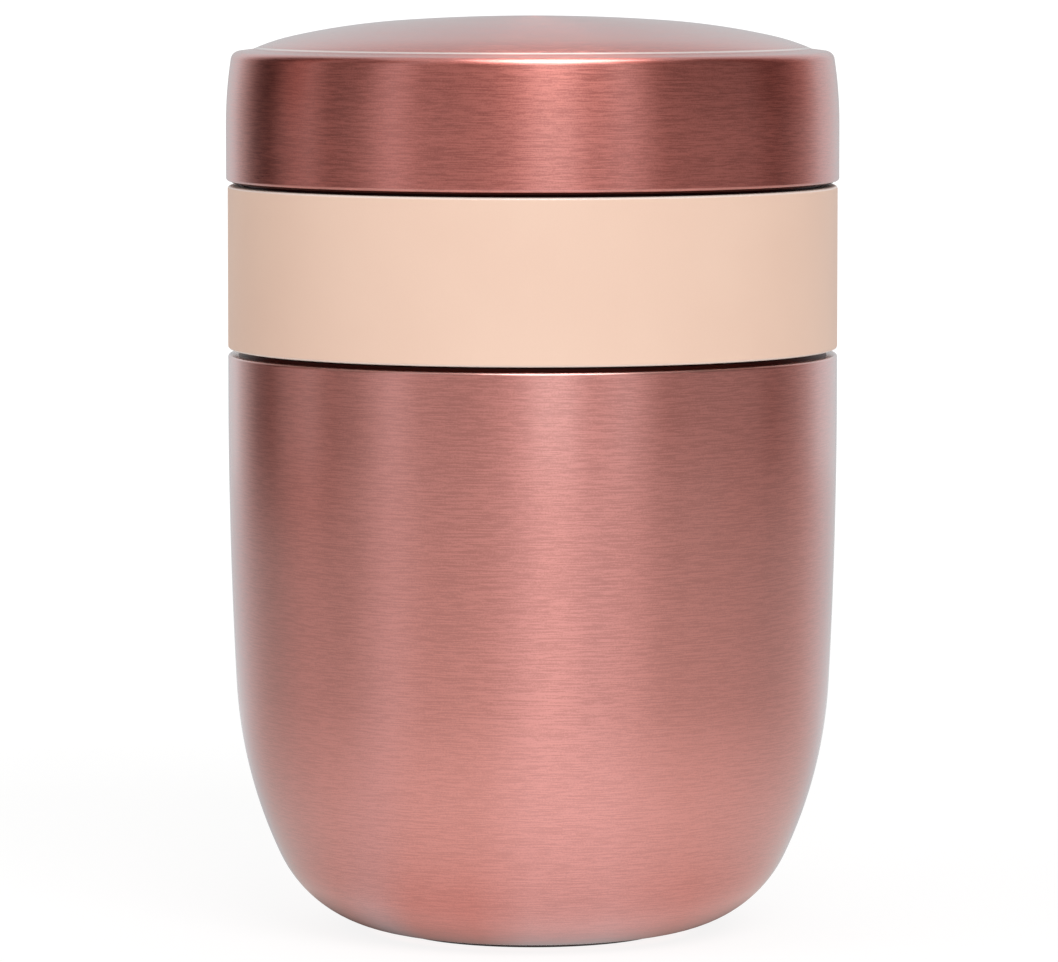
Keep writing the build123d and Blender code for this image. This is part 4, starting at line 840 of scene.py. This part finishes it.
def tent_material():
    """Cloth of a light tent: a wall lit by the angle round Z, and a sheet lit by the way from Z.

    Angles are in radians from the front, and lengths in metres. On the wall a strip in front grows
    brighter upwards, with a beam in its middle and a dip at the lid's height, and so does the back.
    The sheet is brightest in front. It is darkened beside the foot as a painted shadow of the piece,
    and dim at the left brim, and one streak on it is brighter.
    """
    material, f = new_material("tent cloth")
    x, y, z = f.split(f.place())
    radius = (x * x + y * y) ** 0.5
    turn = f.node("ShaderNodeMath", {"operation": "ARCTAN2"}, {0: x, 1: 0 - y})
    ahead, aside = 0 - y / radius, x / radius
    strip = f.between(turn, -0.3, -0.02, 0.4, 0.85)
    beam = f.between(turn, -0.3, 0.1, 0.25, 0.6)
    dip = f.between(turn, -0.35, -0.15, 0.35, 0.5) * f.between(z, 0.1, 0.2, 0.35, 0.5)
    streak = f.between(turn, -1.2, -0.95, -0.85, -0.65)
    flank = f.between(ahead, -0.7, -0.5, -0.12, 0.08) * f.ramp(z, 0.08, 0.2)
    brim = f.between(ahead, -0.8, -0.6, 0.15, 0.4) * f.ramp(radius, 0.56, 0.7)
    back = f.ramp(ahead, -0.8, -0.95)
    right = f.ramp(aside, 0.5, 0.85)

    stops = [((angle + 180) / 360, (level / LEVEL_SCALE,) * 3) for angle, level in WALL_LEVELS]
    cloth = f.node("ShaderNodeValToRGB", {"stops": stops}, {0: turn / (2 * math.pi) + 0.5})
    wall = f.node("ShaderNodeRGBToBW", {}, {0: cloth}) * LEVEL_SCALE
    wall = wall * (1.0 + 1.5 * strip * f.ramp(z, 0.5, 1.0) + 0.6 * beam * f.ramp(z, 0.45, 0.85))
    wall = wall * (1.0 - 0.15 * dip + 0.12 * right * f.ramp(z, 0.14, 0.06))
    wall = wall * (1.0 + 0.35 * back * f.ramp(z, 0.2, 0.5))

    # The darkening beside the foot below is a painted shadow of the piece, seen in its gloss
    clear = radius - 0.0065 * (1.0 - ahead) + 0.001 * aside
    under = f.ramp(clear, 0.0245, 0.0345, 0.2, 1.0) * f.ramp(radius, 0.04, 0.075, 0.78, 1.0)
    near = (0.86 + 0.05 * aside + 0.38 * ahead) * under
    far = 0.765 - 0.005 * aside + 0.139 * ahead + 0.116 * ahead * ahead
    far = far * f.ramp(radius, 0.25, 0.5, 1.0, 0.86)
    far = far * (1.0 - (0.24 - 0.2 * aside) * brim + 0.07 * right + 0.13 * streak)
    spread = f.ramp(radius, 0.08, 0.25)
    sheet = (near * (1.0 - spread) + far * spread) * (1.0 + 0.08 * strip)

    # Beside the foot the painted shadow is tinted warm
    near_tint = f.mix(f.ramp(radius, 0.028, 0.06), FOOT_WARM, NEAR_WARM)
    sheet_tint = f.mix(brim * 0.7, f.mix(spread, near_tint, FAR_WARM), BRIM_WARM)
    sheet_tint = f.mix(f.ramp(ahead, -0.45, -0.8) + strip * 0.8 + streak * 0.7, sheet_tint, PALE)
    low_tint = f.mix(f.ramp(ahead, -0.1, 0.3), SIDE_LOW, FRONT_LOW)
    wall_tint = f.mix(flank, f.mix(f.ramp(z, 0.08, 0.3), low_tint, WALL_WARM), FLANK_WARM)
    wall_tint = f.mix(f.ramp(wall, 0.4, 0.85) * (1.0 - flank) + back, wall_tint, PALE)
    wall_tint = f.mix(strip * f.ramp(wall, 0.7, 1.2), wall_tint, COOL)

    upright = f.ramp(z, 0.004, 0.01)
    level = wall * upright + sheet * (1.0 - upright)
    tint = f.mix(upright, sheet_tint, wall_tint)
    glow = f.node("ShaderNodeVectorMath", {"operation": "SCALE"}, {0: tint, 3: level})
    f.done(f.node("ShaderNodeEmission", {}, {"Color": glow, "Strength": 1.0}))
    return material


def overhead_material():
    """Lamp cloth over the piece: bright along its middle, and fading to both sides and to the back."""
    material, f = new_material("overhead cloth")
    x, y = f.split(f.place())[:2]
    bright = f.ramp(f.away(x, OVERHEAD_MIDDLE), 0.45, 0.12) * f.ramp(y, OVERHEAD_BACK, 0.02)
    glow = f.mix(bright, BLACK, OVERHEAD_GLOW)
    f.done(f.node("ShaderNodeEmission", {}, {"Color": glow, "Strength": 1.0}))
    return material


def stage_mesh(name, points, faces, material):
    """A thing of the studio, not of the piece."""
    mesh = bpy.data.meshes.new(name)
    mesh.from_pydata(points, [], faces)
    mesh.materials.append(material)
    thing = bpy.data.objects.new(name, mesh)
    bpy.context.scene.collection.objects.link(thing)
    return thing


def tent_cloth(steps):
    """A ring-shaped sheet just above the floor that turns up into an upright wall.

    Row k of the grid is a circle of radius r_k at height h_k: (r sin a, -r cos a, h).
    """
    angle = 2 * np.pi * np.arange(steps) / steps
    reach = np.array([TENT_HOLE_R, TENT_R, TENT_R, TENT_R])
    level = np.array([SHEET_LIFT, SHEET_LIFT, SHEET_EDGE, TENT_TOP])
    around = np.stack([np.sin(angle), -np.cos(angle)], 1)
    flat = reach[:, None, None] * around
    height = np.broadcast_to(level[:, None, None], (len(level), steps, 1))
    points = np.concatenate([flat, height], 2).reshape(-1, 3)
    step, follow = np.arange(steps), (np.arange(steps) + 1) % steps
    row = np.arange(len(level) - 1)[:, None] * steps
    faces = np.stack([row + step, row + follow, row + steps + follow, row + steps + step], -1)
    return points, faces.reshape(-1, 4).tolist()


def flat_sheet(left, right, front, rear, height):
    """The four corners of a level sheet, and its one face."""
    corners = [[left, front, height], [right, front, height], [right, rear, height], [left, rear, height]]
    return np.array(corners), [[0, 1, 2, 3]]


studio_world()
stage_mesh("floor", *flat_sheet(-FLOOR_HALF, FLOOR_HALF, -FLOOR_HALF, FLOOR_HALF, 0.0), floor_material())
tent = stage_mesh("tent", *tent_cloth(TENT_STEPS), tent_material())
overhead = stage_mesh("overhead", *flat_sheet(OVERHEAD_LEFT, OVERHEAD_RIGHT, OVERHEAD_FRONT,
                                              OVERHEAD_BACK, OVERHEAD_Z), overhead_material())
for cloth in (tent, overhead):
    cloth.visible_camera = False
    cloth.visible_diffuse = False
    cloth.visible_shadow = False
    cloth.visible_transmission = False


def soft_lamp(name, place, size, power):
    """A square lamp aimed at the piece. It lights matte surfaces; gloss shows the tent."""
    data = bpy.data.lights.new(name, "AREA")
    data.shape = "SQUARE"
    data.size = size
    data.energy = power
    lamp = bpy.data.objects.new(name, data)
    bpy.context.scene.collection.objects.link(lamp)
    lamp.location = place
    way = np.array(LAMP_AIM) - np.array(place)
    down, round_z = math.acos(-way[2] / np.linalg.norm(way)), math.atan2(way[1], way[0])
    lamp.rotation_euler = (down, 0, round_z - math.pi / 2)
    lamp.visible_glossy = False


soft_lamp("front lamp", (0.5, -1.7, 1.25), 1.2, 21)
soft_lamp("left lamp", (-1.6, -0.8, 0.9), 1.0, 4.5)

bpy.context.scene.view_settings.view_transform = "Standard"
